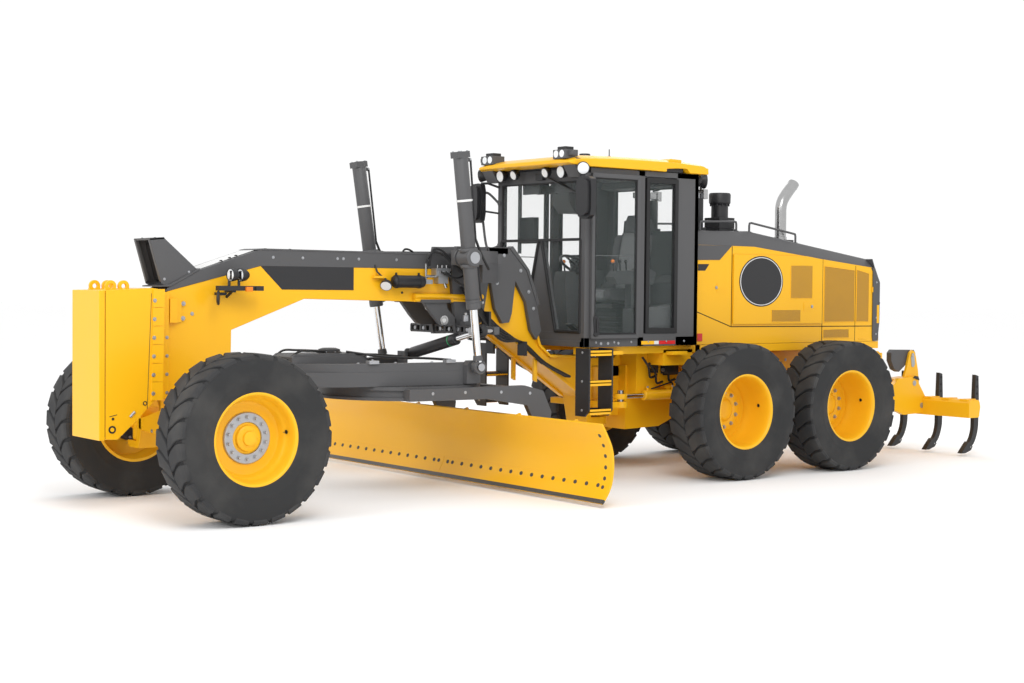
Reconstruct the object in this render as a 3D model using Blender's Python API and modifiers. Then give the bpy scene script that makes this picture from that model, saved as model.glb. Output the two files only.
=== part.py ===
"""Motor grader at rest: +X forward, +Y to the machine's left, +Z up, ground at z = 0, metres.

Stations along the machine are counted from the front axle, negative towards the rear.
FRONT_AXLE_X puts the middle of the machine's length at x = 0.
"""
import math

import bmesh
import bpy
from mathutils import Matrix, Vector

# ---- where the machine stands -------------------------------------------------------------------
FRONT_AXLE_X = 4.281          # the front axle in the shared frame
MIDDLE_Y = 0.406              # the machine's centre line in it; the shifted blade is centred on y = 0
GAP = 0.0005                   # air between two pieces that are bolted or seated together

# ---- wheels -------------------------------------------------------------------------------------
MID_AXLE = -5.39
REAR_AXLE = -6.93
WHEEL_SIDES = 24
TYRE_RADIUS = 0.675            # at the corners of the polygon
HUB_Z = TYRE_RADIUS * math.cos(math.pi / WHEEL_SIDES)
WHEEL_Y = 1.0835
TYRE_HALF = 0.2225
BEAD_RADIUS = 0.352
BEAD_HALF = 0.17
FLANGE = 0.017
FLANGE_RADIUS = 0.3715
BARREL_RADIUS = 0.335
FRONT_DISC = -0.005            # wheel disc, measured outwards from the wheel's middle
REAR_DISC = -0.045
DISC = 0.03
HUB_CAP_RADIUS = 0.115

# ---- front axle ---------------------------------------------------------------------------------
KINGPIN_Y = 0.80
KINGPIN_RADIUS = 0.07
KNUCKLE_HALF = 0.165
EAR = 0.06
PIN_AIR = 0.002
AXLE_HALF_X = 0.11
AXLE_TOP = 0.8995

# ---- front frame --------------------------------------------------------------------------------
FRAME_HALF = 0.16
NOSE_FRONT = 0.22
NOSE_BOTTOM = 0.90
HITCH_X = -4.50
HITCH_EAR_RADIUS = 0.14
HITCH_PIN_RADIUS = 0.05
HITCH_LOW = 0.50
HITCH_HIGH = 1.17
HITCH_EAR = 0.08
FRAME_SIDE = [
    (NOSE_FRONT, NOSE_BOTTOM), (NOSE_FRONT, 1.816), (-0.07, 1.975), (-0.648, 2.164), (-2.98, 2.155),
    (-3.20, 2.06), (-3.42, 1.865), (-3.56, 1.60), (-3.66, 1.30), (-3.80, 1.19), (-4.30, 1.17),
    (-4.35, 1.17), (-4.35, 0.50), (-4.30, 0.50), (-4.24, 0.79), (-3.28, 1.41), (-3.07, 1.536),
    (-2.84, 1.712), (-1.07, 1.746), (-0.367, 1.484), (-0.36, NOSE_BOTTOM),
]
STEER_ARM_Y = 0.42             # articulation cylinder line
STEER_ARM_Z = 0.80

# ---- push block and nose cover ------------------------------------------------------------------
PUSH_BLOCK_HALF = 0.265
PUSH_BLOCK_NECK_HALF = 0.20
PUSH_BLOCK_SIDE = [
    (0.34, 1.826), (0.405, 1.832), (0.853, 1.811), (0.853, 0.622), (0.694, 0.622), (0.524, 0.774),
    (0.34, 0.96),
]
NOSE_COVER_WALL = 0.012

# ---- saddle and lift cylinders ------------------------------------------------------------------
SADDLE_FRONT = -2.56
SADDLE_REAR = -2.96
SADDLE_PLATE = 0.05
SADDLE_TOP = 2.235
SADDLE_BOTTOM = 1.42
LIFT_Y = 0.77
TRUNNION = (-2.385, 2.12)
TRUNNION_OUT = {"left": 0.0, "right": 0.06}
LIFT_EYE = (-2.50, 1.15)
LIFT_BARREL_RADIUS = 0.066
LIFT_BORE_RADIUS = 0.0365
LIFT_ROD_RADIUS = 0.036
LIFT_ABOVE = 0.935
LIFT_BELOW = 0.46

# ---- drawbar, circle and blade ------------------------------------------------------------------
DRAWBAR_BALL = (-0.47, 1.04)
DRAWBAR_LOW = 0.9875
DRAWBAR_HIGH = 1.115
CIRCLE_X = -2.15
CIRCLE_RADIUS = 0.76
CIRCLE_INNER = 0.62
CIRCLE_LOW = 0.865
CIRCLE_HIGH = 0.987
CIRCLE_SIDES = 36
ARM_Y = 0.78
ARM_THICK = 0.06
BLADE_HALF = 2.4385
BLADE_SHIFT = -0.406
SLIDER_HALF = 1.55
BLADE_THICK = 0.022
BLADE_PIVOT = (-3.20, 0.30)
BLADE_CURVE = [
    (-2.870, 0.045), (-2.918, 0.105), (-2.955, 0.17), (-2.976, 0.245), (-2.987, 0.337), (-2.983, 0.433),
    (-2.959, 0.526), (-2.912, 0.616), (-2.857, 0.710),
]

# ---- rear frame and tandem axle -----------------------------------------------------------------
REAR_HALF = 0.36
REAR_FRONT = -4.76
REAR_END = -8.10
REAR_LOW = 0.80
DECK_TOP = 1.2995
DECK_HALF = 0.60
TANDEM_X = 0.5 * (MID_AXLE + REAR_AXLE)
TANDEM_IN = 0.64
TANDEM_OUT = 0.835
TANDEM_HALF_Z = 0.175

# ---- hood ---------------------------------------------------------------------------------------
HOOD_HALF = 0.60
HOOD_WALL = 0.012
HOOD_SIDE = [
    (-5.33, 1.30), (-5.33, 2.45), (-6.15, 2.468), (-8.03, 2.21), (-8.15, 1.95), (-8.15, 1.30),
]
HOOD_DOOR_X = (-7.18, -5.87)
HOOD_DOOR_Z = (1.52, 2.20)
DOOR_LAP = 0.02
DOOR_THICK = 0.016

# ---- cab ----------------------------------------------------------------------------------------
CAB_FRONT = -3.80
CAB_REAR = -5.28
CAB_HALF = 0.68
CAB_WALL = 0.05
CAB_LOW = 1.30
CAB_FLOOR = 1.36
CAB_TOP = 3.00
CAB_DOOR_X = (-4.45, -3.88)
CAB_DOOR_Z = (1.40, 2.93)
SIDE_WINDOW_X = (-5.14, -4.53)
SIDE_WINDOW_Z = (1.52, 2.93)
FRONT_WINDOW_Y = 0.60
FRONT_WINDOW_Z = (1.44, 2.92)
REAR_WINDOW_Y = 0.54
REAR_WINDOW_Z = (1.60, 2.88)
GLASS = 0.008
GLASS_GAP = 0.0004
CAB_DOOR_THICK = 0.035
CAB_DOOR_FRAME = 0.055
ROOF_TOP = 3.13

# ---- ripper -------------------------------------------------------------------------------------
RIPPER_HINGE = (-8.42, 0.62)
RIPPER_BEAM = (-9.33, -9.13)
RIPPER_BEAM_HALF = 1.10
RIPPER_BEAM_Z = (0.43, 0.64)


# ---- helpers ------------------------------------------------------------------------------------
for old in list(bpy.data.objects):
    bpy.data.objects.remove(old, do_unlink=True)

COLOURS = {
    "yellow": ((0.93, 0.53, 0.02), 0.0, 0.35),
    "grey": ((0.09, 0.09, 0.095), 0.0, 0.45),
    "black": ((0.02, 0.02, 0.02), 0.0, 0.6),
    "tyre": ((0.03, 0.03, 0.032), 0.0, 0.85),
    "chrome": ((0.8, 0.8, 0.82), 1.0, 0.12),
    "iron": ((0.2, 0.2, 0.2), 0.6, 0.55),
    "glass": ((0.35, 0.42, 0.42), 0.0, 0.05),
    "fabric": ((0.08, 0.08, 0.09), 0.0, 0.9),
}


def mesh_object(name, mesh, at):
    obj = bpy.data.objects.new(name, mesh)
    bpy.context.scene.collection.objects.link(obj)
    mesh.transform(Matrix.Translation(-Vector(at)))
    obj.location = (at[0] + FRONT_AXLE_X, at[1] + MIDDLE_Y, at[2])
    return obj


def from_bmesh(name, bm, at):
    bmesh.ops.recalc_face_normals(bm, faces=bm.faces)
    mesh = bpy.data.meshes.new(name)
    bm.to_mesh(mesh)
    bm.free()
    return mesh_object(name, mesh, at)


def prism(name, outline, low, high, along="y", at=(0, 0, 0)):
    """A flat outline pushed from low to high along one axis."""
    order = {"y": lambda a, b, c: (a, c, b), "x": lambda a, b, c: (c, a, b), "z": lambda a, b, c: (a, b, c)}
    bm = bmesh.new()
    ends = []
    for level in (low, high):
        ends.append([bm.verts.new(order[along](a, b, level)) for a, b in outline])
    bm.faces.new(ends[0])
    bm.faces.new(list(reversed(ends[1])))
    count = len(outline)
    for i in range(count):
        j = (i + 1) % count
        bm.faces.new((ends[0][i], ends[1][i], ends[1][j], ends[0][j]))
    return from_bmesh(name, bm, at)


def box(name, x, y, z, at=(0, 0, 0)):
    outline = [(x[0], z[0]), (x[1], z[0]), (x[1], z[1]), (x[0], z[1])]
    return prism(name, outline, y[0], y[1], "y", at)


def tube(name, points, radius, sides=12, at=(0, 0, 0), turn=0.0):
    """A round bar along a bent line, with its end caps square to the line."""
    points = [Vector(p) for p in points]
    bm = bmesh.new()
    first = (points[1] - points[0]).normalized()
    across = first.cross(Vector((0, 1, 0)))
    if across.length < 0.2:
        across = first.cross(Vector((0, 0, 1)))
    across.normalize()
    rings = []
    for i, point in enumerate(points):
        before = (point - points[i - 1]).normalized() if i else None
        after = (points[i + 1] - point).normalized() if i + 1 < len(points) else None
        one = before or after
        two = after or before
        bend = (one + two).normalized()
        across = (across - one * across.dot(one)).normalized()
        other = one.cross(across)
        ring = []
        for k in range(sides):
            angle = 2 * math.pi * (k + 0.5) / sides + turn
            spoke = across * math.cos(angle) * radius + other * math.sin(angle) * radius
            slide = -spoke.dot(bend) / one.dot(bend)
            ring.append(bm.verts.new(point + spoke + one * slide))
        rings.append(ring)
        across = (across - two * across.dot(two)).normalized()
    bm.faces.new(rings[0])
    bm.faces.new(list(reversed(rings[-1])))
    for low, high in zip(rings, rings[1:]):
        for k in range(sides):
            m = (k + 1) % sides
            bm.faces.new((low[k], high[k], high[m], low[m]))
    return from_bmesh(name, bm, at)


def turned(name, profile, at, outward=1, steps=WHEEL_SIDES, closed=True):
    """A half-section of (radius, distance) pairs spun round the +Y line through `at`."""
    bm = bmesh.new()
    verts = []
    for radius, along in profile:
        corner = Vector((radius, along * outward, 0.0))
        corner.rotate(Matrix.Rotation(math.pi / 2 + math.pi / steps, 3, "Y"))
        verts.append(bm.verts.new(corner + Vector(at)))
    pairs = list(zip(verts, verts[1:]))
    if closed:
        pairs.append((verts[-1], verts[0]))
    for one, two in pairs:
        bm.edges.new((one, two))
    mesh = bpy.data.meshes.new(name)
    bm.to_mesh(mesh)
    bm.free()
    obj = mesh_object(name, mesh, at)
    screw = obj.modifiers.new("spin", "SCREW")
    screw.axis = "Y"
    screw.angle = 2 * math.pi
    screw.steps = steps
    screw.render_steps = steps
    screw.use_merge_vertices = True
    screw.merge_threshold = 0.00005
    screw.use_normal_calculate = True
    graph = bpy.context.evaluated_depsgraph_get()
    solid = bpy.data.meshes.new_from_object(obj.evaluated_get(graph))
    bm = bmesh.new()
    bm.from_mesh(solid)
    bmesh.ops.remove_doubles(bm, verts=bm.verts, dist=0.00005)
    bmesh.ops.recalc_face_normals(bm, faces=bm.faces)
    bm.to_mesh(solid)
    bm.free()
    obj.modifiers.clear()
    obj.data = solid
    return obj


def helper(obj):
    obj.hide_render = True
    obj.display_type = "WIRE"
    return obj


def weld(body, *others):
    for number, other in enumerate(others):
        modifier = body.modifiers.new(f"weld_{number}", "BOOLEAN")
        modifier.operation = "UNION"
        modifier.solver = "EXACT"
        modifier.object = helper(other)
    return body


def carve(body, *others):
    for number, other in enumerate(others):
        modifier = body.modifiers.new(f"carve_{number}", "BOOLEAN")
        modifier.operation = "DIFFERENCE"
        modifier.solver = "EXACT"
        modifier.object = helper(other)
    return body


def paint(obj, colour):
    base, metal, rough = COLOURS[colour]
    material = bpy.data.materials.new(obj.name)
    material.use_nodes = True
    shader = material.node_tree.nodes["Principled BSDF"]
    shader.inputs["Base Color"].default_value = (*base, 1.0)
    shader.inputs["Metallic"].default_value = metal
    shader.inputs["Roughness"].default_value = rough
    if colour == "glass":
        shader.inputs["Alpha"].default_value = 0.35
    obj.data.materials.clear()
    obj.data.materials.append(material)
    return obj


def round_end(centre, radius, start, stop, count):
    """Points of an arc in a plane, from one angle to the other in degrees."""
    out = []
    for i in range(count + 1):
        angle = math.radians(start + (stop - start) * i / count)
        out.append((centre[0] + radius * math.cos(angle), centre[1] + radius * math.sin(angle)))
    return out


# ---- wheels -------------------------------------------------------------------------------------
TYRE_PROFILE = [
    (BEAD_RADIUS, -BEAD_HALF), (FLANGE_RADIUS, -BEAD_HALF), (0.45, -0.21), (0.56, -TYRE_HALF),
    (0.65, -0.195), (TYRE_RADIUS, -0.14), (TYRE_RADIUS, 0.14), (0.65, 0.195), (0.56, TYRE_HALF),
    (0.45, 0.21), (FLANGE_RADIUS, BEAD_HALF), (BEAD_RADIUS, BEAD_HALF),
]


def rim_profile(disc, hub_cap):
    edge = BEAD_HALF + GAP
    return [
        (0.0, disc - DISC), (BARREL_RADIUS, disc - DISC), (BARREL_RADIUS, -edge - FLANGE),
        (FLANGE_RADIUS, -edge - FLANGE), (FLANGE_RADIUS, -edge), (BEAD_RADIUS - GAP, -edge),
        (BEAD_RADIUS - GAP, edge), (FLANGE_RADIUS, edge), (FLANGE_RADIUS, edge + FLANGE),
        (BARREL_RADIUS, edge + FLANGE), (BARREL_RADIUS, disc), (HUB_CAP_RADIUS, disc),
        (HUB_CAP_RADIUS, disc + hub_cap), (0.0, disc + hub_cap),
    ]


WHEELS = [
    ("front_left", 0.0, 1, FRONT_DISC, 0.075), ("front_right", 0.0, -1, FRONT_DISC, 0.075),
    ("mid_left", MID_AXLE, 1, REAR_DISC, 0.02), ("mid_right", MID_AXLE, -1, REAR_DISC, 0.02),
    ("rear_left", REAR_AXLE, 1, REAR_DISC, 0.02), ("rear_right", REAR_AXLE, -1, REAR_DISC, 0.02),
]
for wheel, station, side, disc, hub_cap in WHEELS:
    centre = (station, side * WHEEL_Y, HUB_Z)
    paint(turned(f"tyre_{wheel}", TYRE_PROFILE, centre, side), "tyre")
    paint(turned(f"rim_{wheel}", rim_profile(disc, hub_cap), centre, side, closed=False), "yellow")

# ---- front axle and steering knuckles -----------------------------------------------------------
AXLE_OUTLINE = [
    (-0.72, 0.90), (-0.88, 0.90), (-0.88, 0.842), (-0.712, 0.842), (-0.712, 0.502), (-0.88, 0.502),
    (-0.88, 0.442), (-0.66, 0.442), (-0.60, 0.60), (-0.34, 0.66), (0.34, 0.66), (0.60, 0.60),
    (0.66, 0.442), (0.88, 0.442), (0.88, 0.502), (0.712, 0.502), (0.712, 0.842), (0.88, 0.842),
    (0.88, 0.90), (0.72, 0.90), (0.60, AXLE_TOP), (-0.60, AXLE_TOP),
]
paint(prism("front_axle", AXLE_OUTLINE, -AXLE_HALF_X + 0.025, AXLE_HALF_X - 0.025, "x"), "iron")
for side, word in ((1, "left"), (-1, "right")):
    pivot = (0.0, side * KINGPIN_Y, HUB_Z)
    knuckle = tube(
        f"steering_knuckle_{word}", [(0, side * KINGPIN_Y, 0.504), (0, side * KINGPIN_Y, 0.840)],
        KINGPIN_RADIUS, 16, pivot,
    )
    face = WHEEL_Y + FRONT_DISC - DISC - GAP
    spindle = tube("spindle_" + word, [(0, side * 0.81, HUB_Z), (0, side * (face - 0.09), HUB_Z)], 0.075, 16)
    drum = tube("drum_" + word, [(0, side * (face - 0.10), HUB_Z), (0, side * face, HUB_Z)], 0.19, 20)
    weld(knuckle, spindle, drum)
    paint(knuckle, "iron")

# ---- front frame --------------------------------------------------------------------------------
front_frame = prism("front_frame", FRAME_SIDE, -FRAME_HALF, FRAME_HALF, "y")
ears = []
for low in (HITCH_LOW, HITCH_HIGH - HITCH_EAR):
    ears.append(tube(f"hitch_ear_{low}", [(HITCH_X, 0, low), (HITCH_X, 0, low + HITCH_EAR)], HITCH_EAR_RADIUS, 24))
    ears.append(box(
        f"hitch_neck_{low}", (HITCH_X, -4.34), (-HITCH_EAR_RADIUS + 0.002, HITCH_EAR_RADIUS - 0.002),
        (low, low + HITCH_EAR),
    ))
arms = prism(
    "steer_arms",
    [(-4.31, -0.10), (-4.31, 0.10), (-4.44, STEER_ARM_Y + 0.06), (-4.55, STEER_ARM_Y + 0.06),
     (-4.55, STEER_ARM_Y - 0.06), (-4.42, 0.18), (-4.349, 0.155), (-4.349, -0.155), (-4.42, -0.18),
     (-4.55, -STEER_ARM_Y + 0.06), (-4.55, -STEER_ARM_Y - 0.06), (-4.44, -STEER_ARM_Y - 0.06)],
    0.69, 0.75, "z",
)
pins = []
for side in (1, -1):
    pins.append(tube(
        f"steer_pin_{side}", [(HITCH_X, side * STEER_ARM_Y, 0.72), (HITCH_X, side * STEER_ARM_Y, 0.85)],
        0.018, 12,
    ))
weld(front_frame, *ears, arms, *pins)
carve(
    front_frame,
    tube("hitch_bore_cut", [(HITCH_X, 0, 0.4), (HITCH_X, 0, 1.3)], HITCH_PIN_RADIUS + PIN_AIR, 24),
)
seat_bore = tube(
    "drawbar_seat_bore", [(DRAWBAR_BALL[0], -0.1, DRAWBAR_BALL[1]), (DRAWBAR_BALL[0], 0.1, DRAWBAR_BALL[1])],
    0.0304, 24,
)
weld(front_frame, box("drawbar_seat", (-0.53, -0.35), (-0.05, 0.05), (0.98, 1.10)))
late = front_frame.modifiers.new("seat_bore", "BOOLEAN")
late.operation = "DIFFERENCE"
late.solver = "EXACT"
late.object = helper(seat_bore)
paint(front_frame, "yellow")

# ---- push block and nose cover ------------------------------------------------------------------
push_block = prism("push_block", PUSH_BLOCK_SIDE, -PUSH_BLOCK_HALF, PUSH_BLOCK_HALF, "y")
neck = prism(
    "push_neck", [(NOSE_FRONT + GAP, 1.816), (0.36, 1.824), (0.36, 0.95), (NOSE_FRONT + GAP, 1.02)],
    -PUSH_BLOCK_NECK_HALF, PUSH_BLOCK_NECK_HALF, "y",
)
eyes = []
for side in (1, -1):
    eyes.append(prism(
        f"lifting_eye_{side}", [(0.52, 1.80), (0.76, 1.80), (0.74, 1.868), (0.55, 1.872)],
        side * 0.14, side * 0.17, "y",
    ))
weld(push_block, neck, *eyes)
paint(push_block, "yellow")

SLOPE = (1.975 - 1.816) / (-0.07 - NOSE_FRONT)


def on_slope(x, lift=GAP):
    return 1.816 + (x - NOSE_FRONT) * SLOPE + lift


cover_side = [
    (0.20, on_slope(0.20)), (0.265, 1.868), (0.37, 2.232), (0.245, 2.243), (-0.06, on_slope(-0.06)),
]
nose_cover = prism("nose_cover", cover_side, -0.15, 0.15, "y")
hollow = prism(
    "nose_hollow", [(0.13, 1.90), (0.30, 1.90), (0.42, 2.20), (0.235, 2.20)], -0.138, 0.138, "y",
)
carve(nose_cover, hollow)
paint(nose_cover, "grey")

# ---- saddle -------------------------------------------------------------------------------------
plate_in = FRAME_HALF + GAP
SADDLE_PLATE_SIDE = [
    (-2.66, SADDLE_TOP), (-3.00, SADDLE_TOP), (-3.04, 1.98), (-2.96, 1.55), (-2.80, SADDLE_BOTTOM),
    (-2.66, SADDLE_BOTTOM), (-2.64, 1.62), (-2.60, 1.95),
]
saddle = prism("saddle", SADDLE_PLATE_SIDE, plate_in, plate_in + SADDLE_PLATE, "y")
right_plate = prism("saddle_right_plate", SADDLE_PLATE_SIDE, -plate_in - SADDLE_PLATE, -plate_in, "y")
top_plate = box("saddle_top_plate", (-2.98, -2.68), (-0.19, 0.19), (2.165, SADDLE_TOP - 0.005))
lock_bar = box("saddle_lock_bar", (-2.76, -2.67), (-0.52, 0.52), (1.43, 1.51))
wings = []
for side, out in ((1, TRUNNION_OUT["left"]), (-1, TRUNNION_OUT["right"])):
    wings.append(prism(
        f"saddle_wing_{side}",
        [(-2.34, side * 0.655), (-2.34, side * 0.56), (-2.62, side * 0.19), (-2.97, side * 0.19),
         (-2.97, side * 0.42), (-2.62, side * 0.655)],
        2.06, 2.19, "z",
    ))
    wings.append(tube(
        f"trunnion_pin_{side}",
        [(TRUNNION[0], side * 0.60, TRUNNION[1]), (TRUNNION[0], side * (0.71 + out), TRUNNION[1])], 0.034, 12,
    ))
weld(saddle, right_plate, top_plate, lock_bar, *wings)
lug_pin = tube("centre_shift_pin", [(-2.70, 0.70, 1.47), (-2.47, 0.70, 1.47)], 0.02, 12)
weld(saddle, box("lug_arm", (-2.76, -2.70), (0.50, 0.73), (1.435, 1.505)), lug_pin)
paint(saddle, "grey")

# ---- lift cylinders -----------------------------------------------------------------------------
for side, word in ((1, "left"), (-1, "right")):
    pivot = Vector((TRUNNION[0], side * (LIFT_Y + TRUNNION_OUT[word]), TRUNNION[1]))
    eye = Vector((LIFT_EYE[0], side * LIFT_Y, LIFT_EYE[1]))
    lean = (eye - pivot).normalized()
    top = pivot - lean * LIFT_ABOVE
    bottom = pivot + lean * LIFT_BELOW
    barrel = tube(f"lift_cylinder_{word}", [top, bottom], LIFT_BARREL_RADIUS, 16, pivot)
    trunnion = tube(
        f"trunnion_{word}", [pivot - Vector((0, 0.095, 0)), pivot + Vector((0, 0.095, 0))], 0.09, 16,
    )
    weld(barrel, trunnion)
    bore = tube(f"lift_bore_{word}", [top + lean * 0.06, bottom + lean * 0.05], LIFT_BORE_RADIUS, 12)
    inner = pivot - Vector((0, side * 0.12, 0))
    socket = tube(f"trunnion_socket_{word}", [inner, pivot - Vector((0, side * 0.055, 0))], 0.0355, 12)
    carve(barrel, bore, socket)
    paint(barrel, "grey")
    rod = tube(
        f"lift_rod_{word}", [top + lean * 0.45, eye - lean * 0.04], LIFT_ROD_RADIUS, 12, eye,
    )
    ring = tube(f"lift_ring_{word}", [eye - Vector((0, 0.035, 0)), eye + Vector((0, 0.035, 0))], 0.066, 16)
    weld(rod, ring)
    carve(rod, tube(
        f"lift_eye_cut_{word}", [eye - Vector((0, 0.06, 0)), eye + Vector((0, 0.06, 0))], 0.036, 16,
    ))
    paint(rod, "chrome")

# ---- drawbar ------------------------------------------------------------------------------------
DRAWBAR_PLAN = [
    (-0.62, 0.07), (-1.30, 0.46), (-2.56, 0.66), (-2.62, 0.60), (-2.62, -0.60), (-2.56, -0.66),
    (-1.30, -0.46), (-0.62, -0.07),
]
ball_at = (DRAWBAR_BALL[0], 0.0, DRAWBAR_BALL[1])
drawbar = prism("drawbar", DRAWBAR_PLAN, DRAWBAR_LOW, DRAWBAR_HIGH, "z", ball_at)
rails = []
for side in (1, -1):
    rails.append(prism(
        f"drawbar_rail_{side}",
        [(-0.95, side * 0.20), (-1.30, side * 0.46), (-2.56, side * 0.66), (-2.56, side * 0.56),
         (-1.34, side * 0.37), (-1.05, side * 0.16)],
        DRAWBAR_HIGH - 0.01, DRAWBAR_HIGH + 0.075, "z",
    ))
    rails.append(box(
        f"lift_bracket_{side}", (-2.58, -2.42), (min(side * 0.62, side * 0.70), max(side * 0.62, side * 0.70)),
        (1.0, 1.21),
    ))
    rails.append(tube(
        f"lift_pin_{side}",
        [(LIFT_EYE[0], side * 0.66, LIFT_EYE[1]), (LIFT_EYE[0], side * 0.82, LIFT_EYE[1])], 0.022, 12,
    ))
fork = []
for side in (1, -1):
    fork.append(prism(
        f"drawbar_fork_{side}",
        [(-0.64, 1.00), (-0.47, 1.00), (-0.43, 1.04), (-0.47, 1.08), (-0.64, 1.08)],
        min(side * 0.055, side * 0.105), max(side * 0.055, side * 0.105), "y",
    ))
    fork.append(box(
        f"drawbar_root_{side}", (-0.80, -0.61), (min(side * 0.02, side * 0.105), max(side * 0.02, side * 0.105)),
        (1.0, 1.08),
    ))
fork.append(tube(
    "drawbar_pin", [(DRAWBAR_BALL[0], -0.09, DRAWBAR_BALL[1]), (DRAWBAR_BALL[0], 0.09, DRAWBAR_BALL[1])], 0.03, 24,
))
cover = box("drawbar_cover", (-1.70, -0.92), (-0.20, 0.20), (DRAWBAR_HIGH - 0.01, 1.27))
motor = tube("circle_motor", [(-1.42, 0, 1.2), (-1.42, 0, 1.40)], 0.11, 16)
shift_lug = box("shift_lug", (-2.52, -2.48), (-0.50, -0.38), (1.10, 1.25))
shift_pin = tube("shift_pin", [(-2.50, -0.44, 1.22), (-2.65, -0.44, 1.22)], 0.0195, 24)
weld(drawbar, *rails, *fork, cover, motor, shift_lug, shift_pin)
paint(drawbar, "grey")

# ---- centre-shift cylinder ----------------------------------------------------------------------
base = Vector((-2.58, -0.44, 1.22))
eye = Vector((-2.58, 0.70, 1.47))
way = (eye - base).normalized()
shift_cylinder = tube("centre_shift_cylinder", [base + way * 0.04, base + way * 0.78], 0.055, 16, base)
knob = tube("shift_knob", [base - Vector((0.035, 0, 0)), base + Vector((0.035, 0, 0))], 0.055, 16)
weld(shift_cylinder, knob)
carve(
    shift_cylinder,
    tube("shift_bore", [base + way * 0.12, base + way * 0.85], 0.0285, 12),
    tube("shift_base_hole", [base - Vector((0.06, 0, 0)), base + Vector((0.06, 0, 0))], 0.0199, 24),
)
paint(shift_cylinder, "black")
shift_rod = tube("centre_shift_rod", [base + way * 0.40, eye - way * 0.04], 0.028, 12, eye)
weld(shift_rod, tube("shift_ring", [eye - Vector((0.03, 0, 0)), eye + Vector((0.03, 0, 0))], 0.062, 16))
carve(shift_rod, tube("shift_eye_cut", [eye - Vector((0.06, 0, 0)), eye + Vector((0.06, 0, 0))], 0.042, 16))
paint(shift_rod, "chrome")

# ---- circle with its two blade arms -------------------------------------------------------------
circle_at = (CIRCLE_X, 0.0, CIRCLE_HIGH)
circle = tube(
    "circle", [(CIRCLE_X, 0, CIRCLE_LOW), (CIRCLE_X, 0, CIRCLE_HIGH)], CIRCLE_RADIUS, CIRCLE_SIDES, circle_at,
)
carve(circle, tube("circle_hole", [(CIRCLE_X, 0, 0.8), (CIRCLE_X, 0, 1.1)], CIRCLE_INNER, CIRCLE_SIDES))
ARM_SIDE = [
    (-1.75, 0.865), (-1.75, 0.975), (-3.02, 0.975), (-3.24, 0.92), (-3.34, 0.72), (-3.27, 0.25),
    (-3.20, 0.21), (-3.14, 0.25), (-3.14, 0.62), (-3.05, 0.79), (-2.60, 0.86),
]
arms = []
for side in (1, -1):
    inner, outer = sorted((side * (ARM_Y - ARM_THICK), side * ARM_Y))
    arms.append(prism(f"blade_arm_{side}", ARM_SIDE, inner, outer, "y"))
    low, high = sorted((side * 0.55, side * (ARM_Y - 0.01)))
    arms.append(box(f"arm_foot_{side}", (-2.62, -1.77), (low, high), (0.87, 0.97)))
    low, high = sorted((side * (ARM_Y - 0.02), side * (ARM_Y + 0.05)))
    arms.append(tube(
        f"pitch_pin_{side}", [(BLADE_PIVOT[0], low, BLADE_PIVOT[1]), (BLADE_PIVOT[0], high, BLADE_PIVOT[1])],
        0.03, 24,
    ))
cross = box("arm_cross", (-2.96, -2.84), (-ARM_Y + 0.01, ARM_Y - 0.01), (0.88, 0.965))
weld(circle, *arms, cross)
paint(circle, "grey")

# ---- blade carrier, moldboard and side-shift cylinder -------------------------------------------
pitch_at = (BLADE_PIVOT[0], 0.0, BLADE_PIVOT[1])
carrier = box("blade_carrier", (-3.12, -3.06), (-0.97, 0.97), (0.33, 0.39), pitch_at)
bits = []
for side in (1, -1):
    low, high = sorted((side * (ARM_Y + 0.006), side * 0.97))
    bits.append(prism(
        f"carrier_cheek_{side}",
        [(-3.24, 0.27), (-3.12, 0.24), (-3.065, 0.30), (-3.065, 0.56), (-3.12, 0.56), (-3.24, 0.34)],
        low, high, "y",
    ))
rail_top = box("carrier_rail_top", (-3.10, -3.065), (-0.97, 0.97), (0.50, 0.545))
for y in (-0.55, 0.55):
    bits.append(box(f"cylinder_cradle_{y}", (-3.11, -3.07), (y - 0.03, y + 0.03), (0.38, 0.4073)))
weld(carrier, *bits, rail_top)
holes = [tube("bar_way", [(-3.09, 0.72, 0.447), (-3.09, 1.05, 0.447)], 0.03, 12)]
for side in (1, -1):
    low, high = sorted((side * 0.70, side * (ARM_Y + 0.06)))
    holes.append(tube(
        f"carrier_hole_{side}", [(BLADE_PIVOT[0], low, BLADE_PIVOT[1]), (BLADE_PIVOT[0], high, BLADE_PIVOT[1])],
        0.0304, 24,
    ))
carve(carrier, *holes)
paint(carrier, "grey")

front_face = BLADE_CURVE
back_face = []
for i, (x, z) in enumerate(BLADE_CURVE):
    low = BLADE_CURVE[max(i - 1, 0)]
    high = BLADE_CURVE[min(i + 1, len(BLADE_CURVE) - 1)]
    run = Vector((high[0] - low[0], high[1] - low[1])).normalized()
    back_face.append((x - run.y * BLADE_THICK, z + run.x * BLADE_THICK))
blade_at = (BLADE_PIVOT[0], 0.0, 0.36)
moldboard = prism(
    "moldboard", front_face + list(reversed(back_face)), BLADE_SHIFT - BLADE_HALF, BLADE_SHIFT + BLADE_HALF,
    "y", blade_at,
)
slider_y = (BLADE_SHIFT - SLIDER_HALF, BLADE_SHIFT + SLIDER_HALF)
slider_low = box("slider_low", (-3.06 + GAP, -2.995), slider_y, (0.33, 0.39))
slider_high = box("slider_high", (-3.065 + GAP, -2.972), slider_y, (0.50, 0.545))
shift_block = box("shift_block", (-3.115, -2.992), (1.15, 1.21), (0.40, 0.50))
shift_bar = tube("shift_bar", [(-3.09, -0.20, 0.447), (-3.09, 1.18, 0.447)], 0.018, 12)
weld(moldboard, slider_low, slider_high, shift_block, shift_bar)
paint(moldboard, "yellow")
side_cylinder = tube("side_shift_cylinder", [(-3.09, -0.70, 0.447), (-3.09, 0.70, 0.447)], 0.040, 16)
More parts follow.
